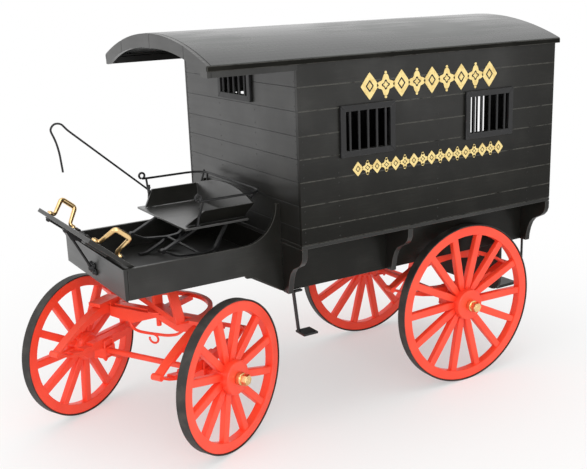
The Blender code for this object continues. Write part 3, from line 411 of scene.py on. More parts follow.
def painted_canvas():
    made = Finish("painted_canvas")
    wave = {"wave_type": "BANDS", "wave_profile": "SIN"}
    sockets = {"Vector": made.place(), "Scale": 1 / (THREAD * 20)}
    weft, warp = (made.node("ShaderNodeTexWave", {**wave, "bands_direction": axis}, sockets) for axis in "XY")
    streaks = made.noise(120.0, stretch=(1.0, 0.07, 1.0))
    cloud = made.noise(22.0, stretch=(1.0, 0.5, 1.0))
    chalk = (0.5 * streaks + 0.5 * cloud).between(0.42, 0.66)
    return made.set(
        Base_Color=made.mix(0.8 * chalk, ROOF_DARK, ROOF_PALE),
        Roughness=(0.6 * cloud + 0.4 * streaks).between(0.40, 0.62) * 0.20 + 0.20,
        Normal=made.bump(0.25 * warp + 0.25 * weft + 0.5 * streaks, 0.05 * MM),
        Coat_Weight=0.5 * cloud,
        Coat_Roughness=0.24,
    )


CANVAS = painted_canvas()
print("roof finish", CANVAS.name)

# %% [markdown]
# Every new piece ends the same way. A bmesh becomes an object, flat faces stay flat and
# round ones shade smooth, the piece is told which body carries it, and the solids of the
# imported model that it stands for are hidden. One function does this, so that no piece is
# forgotten. The small ones beside it read a drawing whose numbers are in millimetres and stand
# it on a surface.

# %% From a mesh to a piece
SHARP_ANGLE = math.radians(38)


def marks_of(builder):
    """The two numbers that each face carries: board shade and eased edge."""
    layers = builder.faces.layers.float
    return layers.get("board") or layers.new("board"), layers.get("arris") or layers.new("arris")


def new_builder():
    builder = bmesh.new()
    marks_of(builder)
    return builder


def body_of(node):
    return NODES[node]["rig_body"]


def piece(name, builder, material, body, slot, stands_for=()):
    """Turns a bmesh into an object that rides on a body and stands for some nodes."""
    data = bpy.data.meshes.new(name)
    builder.to_mesh(data)
    builder.free()
    data.polygons.foreach_set("use_smooth", [True] * len(data.polygons))
    data.set_sharp_from_angle(angle=SHARP_ANGLE)
    data.materials.append(material)
    made = bpy.data.objects.new(name, data)
    bpy.context.scene.collection.objects.link(made)
    normals = made.modifiers.new("even normals", "WEIGHTED_NORMAL")
    normals.keep_sharp = True
    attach(made, body)
    if stands_for:
        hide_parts(*stands_for)
    print(name, "faces", len(data.polygons))


def at(x, y, z):
    """A point whose numbers are in millimetres."""
    return Vector((x, y, z)) * MM


def in_mm(pairs, lift=0.0):
    """A profile or an outline whose numbers are in millimetres, lifted if need be."""
    return [(a * MM, (b + lift) * MM) for a, b in pairs]


def turns(count, start=0.0):
    """Equal angles all the way round."""
    return [2 * math.pi * (k + start) / count for k in range(count)]


def standing(spot, out):
    """The matrix that stands a drawing at a spot, with its Z along the outward direction."""
    return Matrix.Translation(spot) @ out.to_track_quat("Z", "Y").to_matrix().to_4x4()


print("piece makers", new_builder.__name__, piece.__name__, standing.__name__)

# %% [markdown]
# Most solids of the imported model have the right shape, but they are made of triangles and
# their edges are as sharp as a ruler's. A real edge is always a little round, and that small
# round catches the light. So such a solid is copied, its coplanar triangles are dissolved
# into whole faces, and its sharp edges are bevelled. The faces that the bevel makes are
# marked as edges, for the paint: it shows wear there, and on black wood a painted highlight.

# %% Softened copies
SAME_POINT = 0.002 * MM
FLAT_ANGLE = math.radians(1.0)
EDGE_ANGLE = math.radians(32)
GOLDEN = 0.61803398875
BRACKETS = [found for found in NODES if found.startswith("bracket_")]
SPRINGS_AND_AXLES = [found for found in NODES if "spring" in found or found.endswith("axle")]
SOFTENED = (
    (("van_floor", "toe_board", "rear_step"), BLACK_ALONG_X, "black_wood", 0.30),
    (("box_floor",), BLACK_ALONG_Y, "black_wood", 0.30),
    (("box_front",), FRONT_PAINT, "black_wood", 0.30),
    (("well",), WELL_PAINT, "black_wood", 0.30),
    (("side_board_left", "side_board_right"), BOX_PAINT, "black_wood", 0.30),
    (BRACKETS, BLACK_ALONG_Z, "black_wood", 0.30),
    (("seat_rail", "seat_irons", "whip", "step_left"), IRON, "black_iron", 0.15),
    (SPRINGS_AND_AXLES, RED_PAINT, "red_iron", 0.25),
    (("body_bolster", "fifth_wheel", "front_bolster"), RED_PAINT, "red_iron", 0.35),
    (("seat_board", "seat_panels"), SEAT_PAINT, "black_wood", 0.25),
)


def shade_of(index):
    """A number from 0 to 1 that looks random but never changes."""
    return (index * GOLDEN + 0.17) % 1.0


def soften(builder, width, segments=2):
    """Bevels the sharp edges and marks the new faces."""
    _, arris = marks_of(builder)
    edges = [e for e in builder.edges if len(e.link_faces) == 2 and e.calc_face_angle(0) > EDGE_ANGLE]
    made = bmesh.ops.bevel(
        builder, geom=edges, offset=width, segments=segments, profile=0.6, affect="EDGES", clamp_overlap=True
    )
    for face in made["faces"]:
        face[arris] = 1.0


def softened(node, material, slot, width):
    """A clean copy of a node with eased edges, which stands for it."""
    builder = new_builder()
    builder.from_mesh(NODES[node].data)
    marks_of(builder)
    bmesh.ops.remove_doubles(builder, verts=builder.verts, dist=SAME_POINT)
    bmesh.ops.dissolve_limit(builder, angle_limit=FLAT_ANGLE, verts=builder.verts, edges=builder.edges)
    board, _ = marks_of(builder)
    for face in builder.faces:
        face[board] = shade_of(len(node) + 7 * len(NODES) + sum(map(ord, node)))
    soften(builder, width)
    piece("soft_" + node, builder, material, body_of(node), slot, (node,))


for group, material, slot, ease in SOFTENED:
    for node in group:
        softened(node, material, slot, ease * MM)

# %% [markdown]
# The van's walls are boards laid on their edges, eight to a side, each with a small round
# along its arris. Where two boards meet, the two rounds make the fine groove that shows in
# the paint. A board is an outline pushed to the wall's thickness. A window that takes a
# board's whole height splits it in two, and one that takes a part of it leaves a notch.

# %% Boards
SEAMS = [height * MM for height in (183.0, 201.4, 220.6, 238.9, 257.1, 276.3, 295.1)]
BOARD_EASE = 0.38 * MM
BOARD_GAP = 0.05 * MM
LEVEL = 0.2  # a face whose normal rises more than this lies on a level edge


def split_by(left, right, low, high, openings):
    """The spans of a board that the openings leave whole, with the notches in each."""
    spans = [(left, right)]
    notches = []
    for start, end, bottom, top in openings:
        if bottom <= low + BOARD_GAP and top >= high - BOARD_GAP:
            parts = []
            for a, b in spans:
                parts += [(a, start), (end, b)] if a < start and end < b else [(a, b)]
            spans = parts
        elif bottom < high and top > low:
            notches.append((start, end, bottom, top))
    return spans, notches


def board_outline(span, low, high, notches):
    """Points of a board's face, anticlockwise, with its notches cut from the foot or the head."""
    left, right = span
    inside = sorted(found for found in notches if left < found[0] and found[1] < right)
    foot, head = [(left, low)], [(right, high)]
    for start, end, bottom, top in inside:
        if bottom <= low:
            foot += [(start, low), (start, top), (end, top), (end, low)]
    for start, end, bottom, top in reversed(inside):
        if top >= high:
            head += [(end, high), (end, bottom), (start, bottom), (start, high)]
    return [*foot, (right, low), *head, (left, high)]


def add_board(builder, outline, to_space, thickness, index, ease=BOARD_EASE, all_worn=False):
    """A board from its outline: to_space sends (along, up, out) to a point.

    Its level edges, or all of them, are marked: the paint shows wear there, and on black wood a painted
    highlight.
    """
    board, arris = marks_of(builder)
    front, back = ([builder.verts.new(to_space(u, v, w)) for u, v in outline] for w in (0.0, -thickness))
    faces = [builder.faces.new(front), builder.faces.new(back[::-1])]
    for i in range(len(outline)):
        j = (i + 1) % len(outline)
        faces.append(builder.faces.new((front[j], front[i], back[i], back[j])))
    for found in faces:
        found[board] = shade_of(index)
    edges = list(faces[0].edges)
    made = bmesh.ops.bevel(builder, geom=edges, offset=ease, segments=2, profile=0.6, affect="EDGES")
    bmesh.ops.recalc_face_normals(builder, faces=builder.faces)
    for found in made["faces"]:
        found[board] = shade_of(index)
        found[arris] = 1.0 if all_worn or abs(found.normal.z) > LEVEL else 0.0


def board_wall(name, node, span, levels, openings, to_space, material, extra=()):
    """A wall of boards between the levels, which replaces a node."""
    builder = new_builder()
    index = 3 * len(name)
    half_gap = BOARD_GAP / 2
    outlines = []
    for low, high in zip(levels, levels[1:]):
        spans, notches = split_by(*span, low, high, openings)
        outlines += [board_outline(part, low + half_gap, high - half_gap, notches) for part in spans]
    for outline in [*outlines, *extra]:
        index += 1
        add_board(builder, outline, to_space, WALL, index)
    piece(name, builder, material, body_of(node), "black_wood", (node,))


SIDE_LOW, SIDE_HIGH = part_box("van_side_left")
WALL = SIDE_HIGH.x - SIDE_LOW.x
SIDE_LEVELS = [SIDE_LOW.z, *SEAMS, SIDE_HIGH.z]
FRAME_EDGE = 5.0 * MM


def window_opening(node, axis):
    """The hole behind a window's frame, along the wall and up."""
    low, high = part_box(node)
    return (low[axis] + FRAME_EDGE, high[axis] - FRAME_EDGE, low.z + FRAME_EDGE, high.z - FRAME_EDGE)


def on_side(side):
    """Sends (along, up, out) to the face of the left or the right wall."""
    return lambda u, v, w: Vector((side * (SIDE_HIGH.x + w), u, v))


for label, side in (("left", 1), ("right", -1)):
    holes = [window_opening(f"window_{label}_{place}", 1) for place in ("front", "rear")]
    span = (SIDE_LOW.y, SIDE_HIGH.y)
    board_wall(f"boards_{label}", f"van_side_{label}", span, SIDE_LEVELS, holes, on_side(side), SIDE_PAINT)

# %% [markdown]
# The end walls stand between the side walls. Their boards run across, and the topmost piece
# is cut to the arch of the roof, whose radius follows from three points: the two eaves and
# the ridge.

# %% End walls
ROOF_LOW, ROOF_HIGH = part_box("roof")
ROOF_HALF = ROOF_HIGH.x
CANVAS_THICK = 3.0 * MM
EAVE_Z = SIDE_HIGH.z + CANVAS_THICK
ROOF_RISE = ROOF_HIGH.z - EAVE_Z
ROOF_RADIUS = (ROOF_HALF**2 + ROOF_RISE**2) / (2 * ROOF_RISE)
ROOF_CENTRE = ROOF_HIGH.z - ROOF_RADIUS
CEILING = CANVAS_THICK + 0.3 * MM
HEAD_FOOT = SIDE_HIGH.z - 0.3 * MM
LAST_BOARD = SIDE_HIGH.z - 0.4 * MM
DOORWAY = tuple(value * MM for value in (-33.0, 33.0, 169.0, 300.0))


def roof_height(x, below=0.0):
    return ROOF_CENTRE + math.sqrt((ROOF_RADIUS - below) ** 2 - x * x)


def arch(start, end, below, steps):
    """Points on the roof's curve, or at some depth below it, from one place to another."""
    stations = [start + (end - start) * i / steps for i in range(steps + 1)]
    return [(x, roof_height(x, below)) for x in stations]


def on_end(plane, outward):
    """Sends (along, up, out) to a plane across the wagon."""
    return lambda u, v, w: Vector((u, plane + outward * w, v))


for label, outward in (("front", -1), ("rear", 1)):
    low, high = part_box(f"van_{label}")
    at_front = label == "front"
    hole = window_opening("window_front", 0) if at_front else DOORWAY
    lunette = [(-high.x, HEAD_FOOT), (high.x, HEAD_FOOT), *arch(high.x, -high.x, CEILING, 32)]
    board_wall(
        f"boards_{label}",
        f"van_{label}",
        (low.x, high.x),
        [low.z, *SEAMS, LAST_BOARD],
        [hole],
        on_end(low.y if at_front else SIDE_HIGH.y, outward),
        FRONT_PAINT if at_front else BLACK_ALONG_X,
        extra=[lunette],
    )

# %% [markdown]
# The roof's cloth lies on the arch like a saddle blanket. A fine strip of curve, thickened
# and with its rims rounded, does what the solid's twenty flats can't: it takes the light
# evenly from eave to eave.

# %% Roof
ROOF_STEPS = 72
FASCIA_DEEP = 3.0 * MM
CLOTH_START = ROOF_LOW.y + FASCIA_DEEP + 0.3 * MM


def add_loft(builder, loops):
    """Skins a row of equal loops of points and closes its ends."""
    rings = [[builder.verts.new(point) for point in loop] for loop in loops]
    count = len(rings[0])
    made = []
    for first, second in zip(rings, rings[1:]):
        for i in range(count):
            j = (i + 1) % count
            made.append(builder.faces.new((first[i], first[j], second[j], second[i])))
    made += [builder.faces.new(rings[0][::-1]), builder.faces.new(rings[-1])]
    bmesh.ops.recalc_face_normals(builder, faces=made)


builder = new_builder()
cloth = arch(-ROOF_HALF, ROOF_HALF, 0.0, ROOF_STEPS) + arch(ROOF_HALF, -ROOF_HALF, CANVAS_THICK, ROOF_STEPS)
add_loft(builder, [[Vector((x, y, z)) for x, z in cloth] for y in (CLOTH_START, ROOF_HIGH.y)])
soften(builder, 0.5 * MM, 3)
piece("roof_cloth", builder, CANVAS, "wagon", "roof_cloth", ("roof",))

# %% [markdown]
# A wheel of this kind is four crafts in one: a turned hub, square spokes with rounded corners
# driven into it, a bent or sawn rim, and an iron hoop shrunk over all. Each is a mesh of its
# own kind here: the hub, rim and hoop are profiles turned about the axle, and the spokes are
# lofts through rounded squares. The spokes lean outward from the hub to the rim, which is the
# wheel's dish.

# %% Wheels
HOOP = 1.1 * MM
HOOP_HALF, HOOP_EASE = 4.5 * MM, 0.4 * MM
RIM_GAP = 0.15 * MM
RIM_DEPTH = 8.8 * MM
RIM_HALF, RIM_EASE = 4.0 * MM, 0.9 * MM
SPOKE_WIDE, SPOKE_THICK, SPOKE_EASE = 7.0 * MM, 6.5 * MM, 1.3 * MM
SPOKE_FOOT, SPOKE_TENON, DISH = 11.6 * MM, 3.0 * MM, 3.0 * MM
HUB = [(2.55, -13), (9.6, -13), (10.4, -12.4), (10.4, -10.2), (11.0, -9.6), (12.4, -8.6), (13.0, -6.0)]
HUB += [(13.4, 1.0), (14.1, 1.6), (14.5, 2.4), (14.5, 6.2), (14.1, 7.1), (13.2, 7.6), (2.55, 7.6)]
WHEELS = (("front_left", 12, 0.5), ("front_right", 12, 0.0), ("rear_left", 14, 0.0), ("rear_right", 14, 0.0))


def add_turned(builder, profile, matrix, steps=96, closed=True):
    """Turns an outline of (radius, height) about Z, then places it."""
    rings = []
    for angle in turns(steps):
        c, s = math.cos(angle), math.sin(angle)
        rings.append([builder.verts.new(matrix @ Vector((r * c, r * s, h))) for r, h in profile])
    count = len(profile)
    made = []
    for i in range(steps):
        first, second = rings[i], rings[(i + 1) % steps]
        for k in range(count if closed else count - 1):
            m = (k + 1) % count
            made.append(builder.faces.new((first[k], second[k], second[m], first[m])))
    if not closed:
        made.append(builder.faces.new([ring[0] for ring in rings]))
        made.append(builder.faces.new([ring[-1] for ring in reversed(rings)]))
    bmesh.ops.recalc_face_normals(builder, faces=made)


def rounded_rim(inner, outer, half, ease):
    """A rectangle of (radius, height) with its four corners cut back in two steps."""
    small = ease * 0.3
    corner = []
    for r, dr, dh in ((outer, -1, 1), (outer, -1, -1), (inner, 1, -1), (inner, 1, 1)):
        h = -dh * half
        near = (r + dr * small, h + dh * small)
        first, last = (r + dr * ease, h), (r, h + dh * ease)
        corner += [first, near, last] if dr * dh < 0 else [last, near, first]
    return corner


def rounded_square(wide, thick, ease, steps=4):
    """The section of a spoke: flat faces with well rounded corners."""
    points = []
    for quarter, (cx, cy) in enumerate(((1, 1), (-1, 1), (-1, -1), (1, -1))):
        for k in range(steps):
            angle = math.pi / 2 * (quarter + k / (steps - 1))
            x = cx * (wide / 2 - ease) + ease * math.cos(angle)
            points.append((x, cy * (thick / 2 - ease) + ease * math.sin(angle)))
    return points


def wheel_matrix(label):
    """Sends Z to the axle's outward direction and the origin to the wheel's middle."""
    low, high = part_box(f"tyre_{label}")
    hub = (low + high) / 2
    nut_low, nut_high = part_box(f"nut_{label}")
    return standing(hub, ((nut_low + nut_high) / 2 - hub).normalized())


def wheel_pieces(label, spokes, phase):
    body = body_of(f"wheel_{label}")
    matrix = wheel_matrix(label)
    low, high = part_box(f"tyre_{label}")
    radius = (high.z - low.z) / 2
    builder = new_builder()
    add_turned(builder, rounded_rim(radius - HOOP, radius, HOOP_HALF, HOOP_EASE), matrix, 128)
    piece(f"hoop_{label}", builder, TYRE, body, "tyre_iron", (f"tyre_{label}",))
    builder = new_builder()
    rim_out = radius - HOOP - RIM_GAP
    rim_in = rim_out - RIM_DEPTH
    add_turned(builder, rounded_rim(rim_in, rim_out, RIM_HALF, RIM_EASE), matrix)
    add_turned(builder, in_mm(HUB), matrix, 64)
    room = min(0.92, 1.8 * SPOKE_FOOT * math.tan(math.pi / spokes) / SPOKE_WIDE)
    stations = ((0.0, room, 0.90), (0.16, 1.0, 1.0), (0.5, 1.0, 1.0), (0.85, 0.96, 0.96), (1.0, 0.96, 0.94))
    reach = rim_in + SPOKE_TENON - SPOKE_FOOT
    for angle in turns(spokes, phase):
        spoke = matrix @ Matrix.Rotation(angle, 4, "Z")
        loops = []
        for share, wide, thick in stations:
            section = rounded_square(SPOKE_WIDE * wide, SPOKE_THICK * thick, SPOKE_EASE)
            out, lean = SPOKE_FOOT + reach * share, DISH * (share - 1)
            loops.append([spoke @ Vector((out, u, v + lean)) for u, v in section])
        add_loft(builder, loops)
    piece(f"spoked_{label}", builder, RED_PAINT, body, "red_wood", (f"wheel_{label}",))


for wheel in WHEELS:
    wheel_pieces(*wheel)

# %% [markdown]
# The axle nut is brass: a round collar against the hub, a hexagon, and a small turned rim
# round the hole in its end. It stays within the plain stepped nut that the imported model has.

# %% Axle nuts
HUB_FACE = 7.9
COLLAR = [(2.0, 0.0), (5.0, 0.0), (5.4, 0.5), (5.4, 3.6), (5.0, 4.2), (4.4, 4.5), (2.0, 4.5)]
HEXAGON = ((4.6, 4.2), (4.9, 4.6), (4.9, 8.9), (4.4, 9.6))
NUT_END = [(1.0, 9.4), (1.2, 9.75), (2.2, 9.75), (2.5, 9.4)]

for label, *_ in WHEELS:
    matrix = wheel_matrix(label)
    builder = new_builder()
    add_turned(builder, in_mm(COLLAR, HUB_FACE), matrix, 48)
    loops = []
    for r, h in in_mm(HEXAGON, HUB_FACE):
        loops.append([matrix @ Vector((r * math.cos(angle), r * math.sin(angle), h)) for angle in turns(6)])
    add_loft(builder, loops)
    add_turned(builder, in_mm(NUT_END, HUB_FACE), matrix, 32)
    node = f"nut_{label}"
    piece(f"brass_nut_{label}", builder, BRASS, body_of(node), "brass", (node,))

# %% [markdown]
# A barred window is a picture frame of four strips, mitred at the corners, with upright rods
# let into it. The mitre shows as a fine line, so each strip is a mesh island of its own. A
# thin lining behind the frame closes the cut ends of the boards.

# %% Windows
BARS = 5
BAR_R = 1.1 * MM
LINING = 1.2 * MM
FRAME_SEAT = 0.3 * MM
UNTURNED = Matrix.Identity(4)


def add_box(builder, low, high, matrix=UNTURNED, index=0, ease=0.25 * MM):
    """A small block with eased edges, placed by a matrix."""
    board, arris = marks_of(builder)
    low, high = Vector(low), Vector(high)
    fitted = matrix @ Matrix.Translation((low + high) / 2) @ Matrix.Diagonal((*(high - low), 1.0))
    corners = bmesh.ops.create_cube(builder, size=1.0, matrix=fitted)["verts"]
    edges = list(dict.fromkeys(edge for corner in corners for edge in corner.link_edges))
    made = bmesh.ops.bevel(builder, geom=edges, offset=ease, segments=2, profile=0.6, affect="EDGES")
    for face in made["faces"]:
        face[board] = shade_of(index)
        face[arris] = 1.0


def window(node, facing):
    """A frame with its bars. facing turns the -Y face of the drawing to the wall's outside."""
    low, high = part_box(node)
    middle = (low + high) / 2
    across = high - low
    wide = max(across.x, across.y) / 2
    depth = min(across.x, across.y) + FRAME_SEAT
    if node == "window_front":
        matrix = Matrix.Translation((middle.x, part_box("van_front")[0].y, 0))
    else:
        wall = Matrix.Translation((math.copysign(SIDE_HIGH.x, middle.x), middle.y, 0))
        matrix = wall @ Matrix.Rotation(facing, 4, "Z")
    half = wide - FRAME_EDGE
    foot, head = low.z + FRAME_EDGE, high.z - FRAME_EDGE
    outer = [(-wide, low.z), (wide, low.z), (wide, high.z), (-wide, high.z)]
    inner = [(-half, foot), (half, foot), (half, head), (-half, head)]
    builder = new_builder()
    for i in range(4):
        j = (i + 1) % 4
        add_board(
            builder,
            [outer[i], outer[j], inner[j], inner[i]],
            lambda u, v, w: matrix @ Vector((u, -depth - w, v)),
            depth - FRAME_SEAT,
            i + len(node),
            0.35 * MM,
            all_worn=True,
        )
    for x0, x1, z0, z1 in (
        (-half - LINING, -half, foot, head),
        (half, half + LINING, foot, head),
        (-half - LINING, half + LINING, foot - LINING, foot),
        (-half - LINING, half + LINING, head, head + LINING),
    ):
        add_box(builder, (x0, 0.0, z0), (x1, WALL, z1), matrix, 5, 0.1 * MM)
    rod = [(BAR_R, foot - FRAME_EDGE / 2), (BAR_R, head + FRAME_EDGE / 2)]
    for i in range(BARS):
        x = 2 * half * (i + 0.5) / BARS - half
        add_turned(builder, rod, matrix @ Matrix.Translation((x, -depth / 2, 0)), 16, closed=False)
    piece("barred_" + node, builder, IRON, "wagon", "black_iron", (node,))


for label, side in (("left", 1), ("right", -1)):
    for place in ("front", "rear"):
        window(f"window_{label}_{place}", side * math.pi / 2)
window("window_front", 0.0)

# %% [markdown]
# The bow at the front of the roof is sawn from four boards that meet in radial joints, as the
# stones of an arch do. Its lower edge is flatter than its top, and falls faster toward the
# eaves. Behind it run two plain valances back to the van, each with a thin batten along its
# inner face, and a dark beading covers the cloth's raw edge along each eave.

# %% Front bow and eaves
BOW_JOINTS = (-ROOF_HALF, -62.0 * MM, 0.0, 64.0 * MM, ROOF_HALF)
JOINT_GAP = 0.12 * MM
BOW_CROWN, BOW_FOOT = 325.8 * MM, 308.0 * MM
BOW_FALL, BOW_SHOULDER, BOW_POWER = 6.2 * MM, 64.0 * MM, 2.6
VAN_FRONT_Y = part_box("van_front")[0].y
VALANCE = 2.4 * MM
VALANCE_IN = ROOF_HALF - VALANCE
VALANCE_HEAD = roof_height(ROOF_HALF, CANVAS_THICK) - 0.1 * MM
BATTEN_IN, BATTEN_OUT = VALANCE_IN - 4.0 * MM, VALANCE_IN - 0.05 * MM
BATTEN_Z = 314.6 * MM
EAVE_BEADING = (EAVE_Z - 4.6 * MM, EAVE_Z - 0.5 * MM)


def bow_under(x):
    """Height of the bow's lower edge: nearly flat at the crown, steep at the feet."""
    return max(BOW_FOOT, BOW_CROWN - BOW_FALL * (abs(x) / BOW_SHOULDER) ** BOW_POWER)


def add_pair(builder, x_span, y_span, z_span, index, ease=0.25 * MM):
    """The same block on both sides, between two distances from the wagon's middle plane."""
    for side in (-1, 1):
        near, far = sorted(side * x for x in x_span)
        low, high = zip((near, far), y_span, z_span)
        add_box(builder, low, high, index=index, ease=ease)


builder = new_builder()
for index, (left, right) in enumerate(zip(BOW_JOINTS, BOW_JOINTS[1:])):
    top = arch(left + JOINT_GAP, right - JOINT_GAP, 0.2 * MM, 16)
    outline = [(x, bow_under(x)) for x, _ in top] + top[::-1]
    add_board(builder, outline, on_end(ROOF_LOW.y, -1), FASCIA_DEEP, index + 2, 0.3 * MM)
valance_y = (CLOTH_START, VAN_FRONT_Y - 0.3 * MM)
add_pair(builder, (VALANCE_IN, ROOF_HALF), valance_y, (BOW_FOOT, VALANCE_HEAD), 4)
batten_y = (CLOTH_START, VAN_FRONT_Y - 0.4 * MM)
add_pair(builder, (BATTEN_IN, BATTEN_OUT), batten_y, (BATTEN_Z, BATTEN_Z + 1.4 * MM), 9, 0.2 * MM)
piece("front_bow", builder, FRONT_PAINT, "wagon", "black_wood", ("roof_fascia",))

builder = new_builder()
beading_x = (SIDE_HIGH.x + 0.05 * MM, ROOF_HALF + 0.5 * MM)
add_pair(builder, beading_x, (ROOF_LOW.y, ROOF_HIGH.y), EAVE_BEADING, 6, 0.5 * MM)
piece("eave_beading", builder, WELL_PAINT, "wagon", "black_wood")

# %% [markdown]
# The gilt ornament. A row of alternate lozenges and quatrefoils runs over the windows on
# each side, and a smaller one under them. Each motif is a thin plate, cut from a curve in
# polar form: one formula for the lozenge, one for the four lobes. A plate between two loops
# is a ring, and one inside a single loop is solid.

# %% Gilt ornament
GILT_PROUD, GILT_BACK = 0.22 * MM, 0.02 * MM
GILT_ANGLES = turns(64)
RING_HOLE, HEART = 0.46, 0.28
BEAD = 1.2 * MM
GILT_ROWS = (
    ("upper", 9.0 * MM, 153.0 * MM, 290.6 * MM, 22.0 * MM, 9),
    ("lower", -0.5 * MM, 162.5 * MM, 225.0 * MM, 12.0 * MM, 17),
)


def lozenge(angle, wide, tall, power=1.05):
    across, up = abs(math.cos(angle)) / wide, abs(math.sin(angle)) / tall
    return (across**power + up**power) ** (-1 / power)


def quatrefoil(angle, size):
    return size * (0.80 + 0.20 * math.cos(4 * angle))


def closed_curve(radii, middle, scale=1.0):
    """A loop round a middle, from its radius at each of the angles."""
    x, z = middle
    return [(x + r * scale * math.cos(a), z + r * scale * math.sin(a)) for a, r in zip(GILT_ANGLES, radii)]


def add_gilt(builder, to_space, *loops):
    """A thin plate inside one loop, or a ring between two."""
    levels = []
    for w in (GILT_PROUD, GILT_BACK):
        levels.append([[builder.verts.new(to_space(u, v, w)) for u, v in loop] for loop in loops])
    front, back = levels
    faces = []
    count = len(GILT_ANGLES)
    for i in range(count):
        j = (i + 1) % count
        bands = list(zip(front, back)) + ([front, back] if len(loops) == 2 else [])
        faces += [builder.faces.new((near[i], near[j], far[j], far[i])) for near, far in bands]
    if len(loops) == 1:
        faces += [builder.faces.new(front[0]), builder.faces.new(back[0][::-1])]
    bmesh.ops.recalc_face_normals(builder, faces=faces)


def gilt_row(builder, to_space, start, end, middle, tall, count):
    """Motifs side by side from start to end, lozenge and quatrefoil in turn."""
    step = (end - start) / count
    size = min(step * 0.56, tall * 0.46)
    for i in range(count):
        x = start + step * (i + 0.5)
        if i % 2 == 0:
            radii = [lozenge(angle, step * 0.55, tall / 2) for angle in GILT_ANGLES]
        else:
            radii = [quatrefoil(angle, size) for angle in GILT_ANGLES]
            for up in (-1, 1):
                spot = (x, middle + up * (tall / 2 - BEAD))
                add_gilt(builder, to_space, closed_curve([BEAD] * len(GILT_ANGLES), spot))
        outer, inner, heart = (closed_curve(radii, (x, middle), scale) for scale in (1.0, RING_HOLE, HEART))
        add_gilt(builder, to_space, outer, inner)
        add_gilt(builder, to_space, heart)


for label, side in (("left", 1), ("right", -1)):
    for name, *row in GILT_ROWS:
        builder = new_builder()
        gilt_row(builder, on_side(side), *row)
        piece(f"gilt_{name}_{label}", builder, GOLD, "wagon", "brass")

# %% [markdown]
# The brass handles on the toe board are bent from round bar, each with two feet beaten flat
# along the slope and a screw through each foot. A bar along a path is a loft too: a ring of
# points is carried along, kept square to the path, and its bends are rounded beforehand.

# %% Brass handles
TOE_ANGLE = math.radians(39.7)
TOE_FRONT = at(0.0, -211.0, 195.0)
TOE_ALONG = Vector((0.0, math.cos(TOE_ANGLE), -math.sin(TOE_ANGLE)))
TOE_OFF = Vector((0.0, math.sin(TOE_ANGLE), math.cos(TOE_ANGLE)))
ACROSS = Vector((1, 0, 0))
HANDLE_BAR = 1.7 * MM
FOOT_X, GRIP_X = 55, 64.6
REST = 0.3 + HANDLE_BAR / MM * 0.55
HANDLE = ((FOOT_X, 6.5, REST), (FOOT_X, 11.2, REST), (GRIP_X, 12.2, 16.2))
HANDLE += ((GRIP_X, 26.7, 16.2), (FOOT_X, 27.4, REST), (FOOT_X, 32.0, REST))
FOOT_DISC = [(2.6, 0.0), (2.6, 1.3), (2.0, 1.8)]
GRIP_SWELL, GRIP_HALF = 0.35, 11.0 * MM


def toe_spot(x, along, off):
    """A point on the toe board: across, down its slope, and out from its upper face, in mm."""
    return TOE_FRONT + (TOE_ALONG * along + TOE_OFF * off + ACROSS * x) * MM


def bent(points, bend, steps=6):
    """The path through some points, with each corner rounded."""
    path = [points[0]]
    for before, corner, after in zip(points, points[1:], points[2:]):
        back, ahead = before - corner, after - corner
        first = corner + back.normalized() * min(bend, back.length * 0.48)
        last = corner + ahead.normalized() * min(bend, ahead.length * 0.48)
        for k in range(steps + 1):
            t = k / steps
            path.append(first.lerp(corner, t).lerp(corner.lerp(last, t), t))
    return path + [points[-1]]


def add_tube(builder, path, radii, sides=16):
    """A bar along a path. radii is one number, or one for each point of the path."""
    if isinstance(radii, float):
        radii = [radii] * len(path)
    loops = []
    side = (path[1] - path[0]).normalized().orthogonal()
    last = len(path) - 1
    for i, (point, radius) in enumerate(zip(path, radii)):
        ahead = (path[min(i + 1, last)] - path[max(i - 1, 0)]).normalized()
        side = (side - ahead * side.dot(ahead)).normalized()
        up = ahead.cross(side)
        loops.append([point + (side * math.cos(a) + up * math.sin(a)) * radius for a in turns(sides)])
    add_loft(builder, loops)


def add_screw(builder, spot, out, radius=0.9 * MM, proud=0.45 * MM):
    """A low domed head on a surface whose outward direction is out."""
    dome = [(radius, -0.2 * MM), (radius, 0.15 * MM), (radius * 0.72, proud * 0.8), (radius * 0.3, proud)]
    add_turned(builder, dome, standing(spot, out), 12, closed=False)


def brass_handle(label, side):
    """Two feet and a grip that leans outward over them."""
    corners = [toe_spot(side * x, along, off) for x, along, off in HANDLE]
    path = bent(corners, 3.0 * MM, 7)
    grip = (corners[2] + corners[3]) / 2
    swell = [1 + GRIP_SWELL * max(0.0, 1 - ((spot - grip).length / GRIP_HALF) ** 2) for spot in path]
    builder = new_builder()
    add_tube(builder, path, [HANDLE_BAR * share for share in swell])
    for along in (7.2, 31.4):
        foot = standing(toe_spot(side * FOOT_X, along, 0.3), TOE_OFF)
        add_turned(builder, in_mm(FOOT_DISC), foot, 24, closed=False)
        add_screw(builder, toe_spot(side * FOOT_X, along, 2.1), TOE_OFF, 1.1 * MM)
    piece(f"brass_handle_{label}", builder, BRASS, "wagon", "brass", (f"toe_handle_{label}",))


brass_handle("left", 1)
brass_handle("right", -1)

# %% [markdown]
# The tail door is six upright boards with a tall barred opening. It hangs by two strap
# hinges, whose barrels sit on pintles that belong to the wall, and a hasp closes it. The
# boards and the irons ride on the door, the pintles on the wagon.

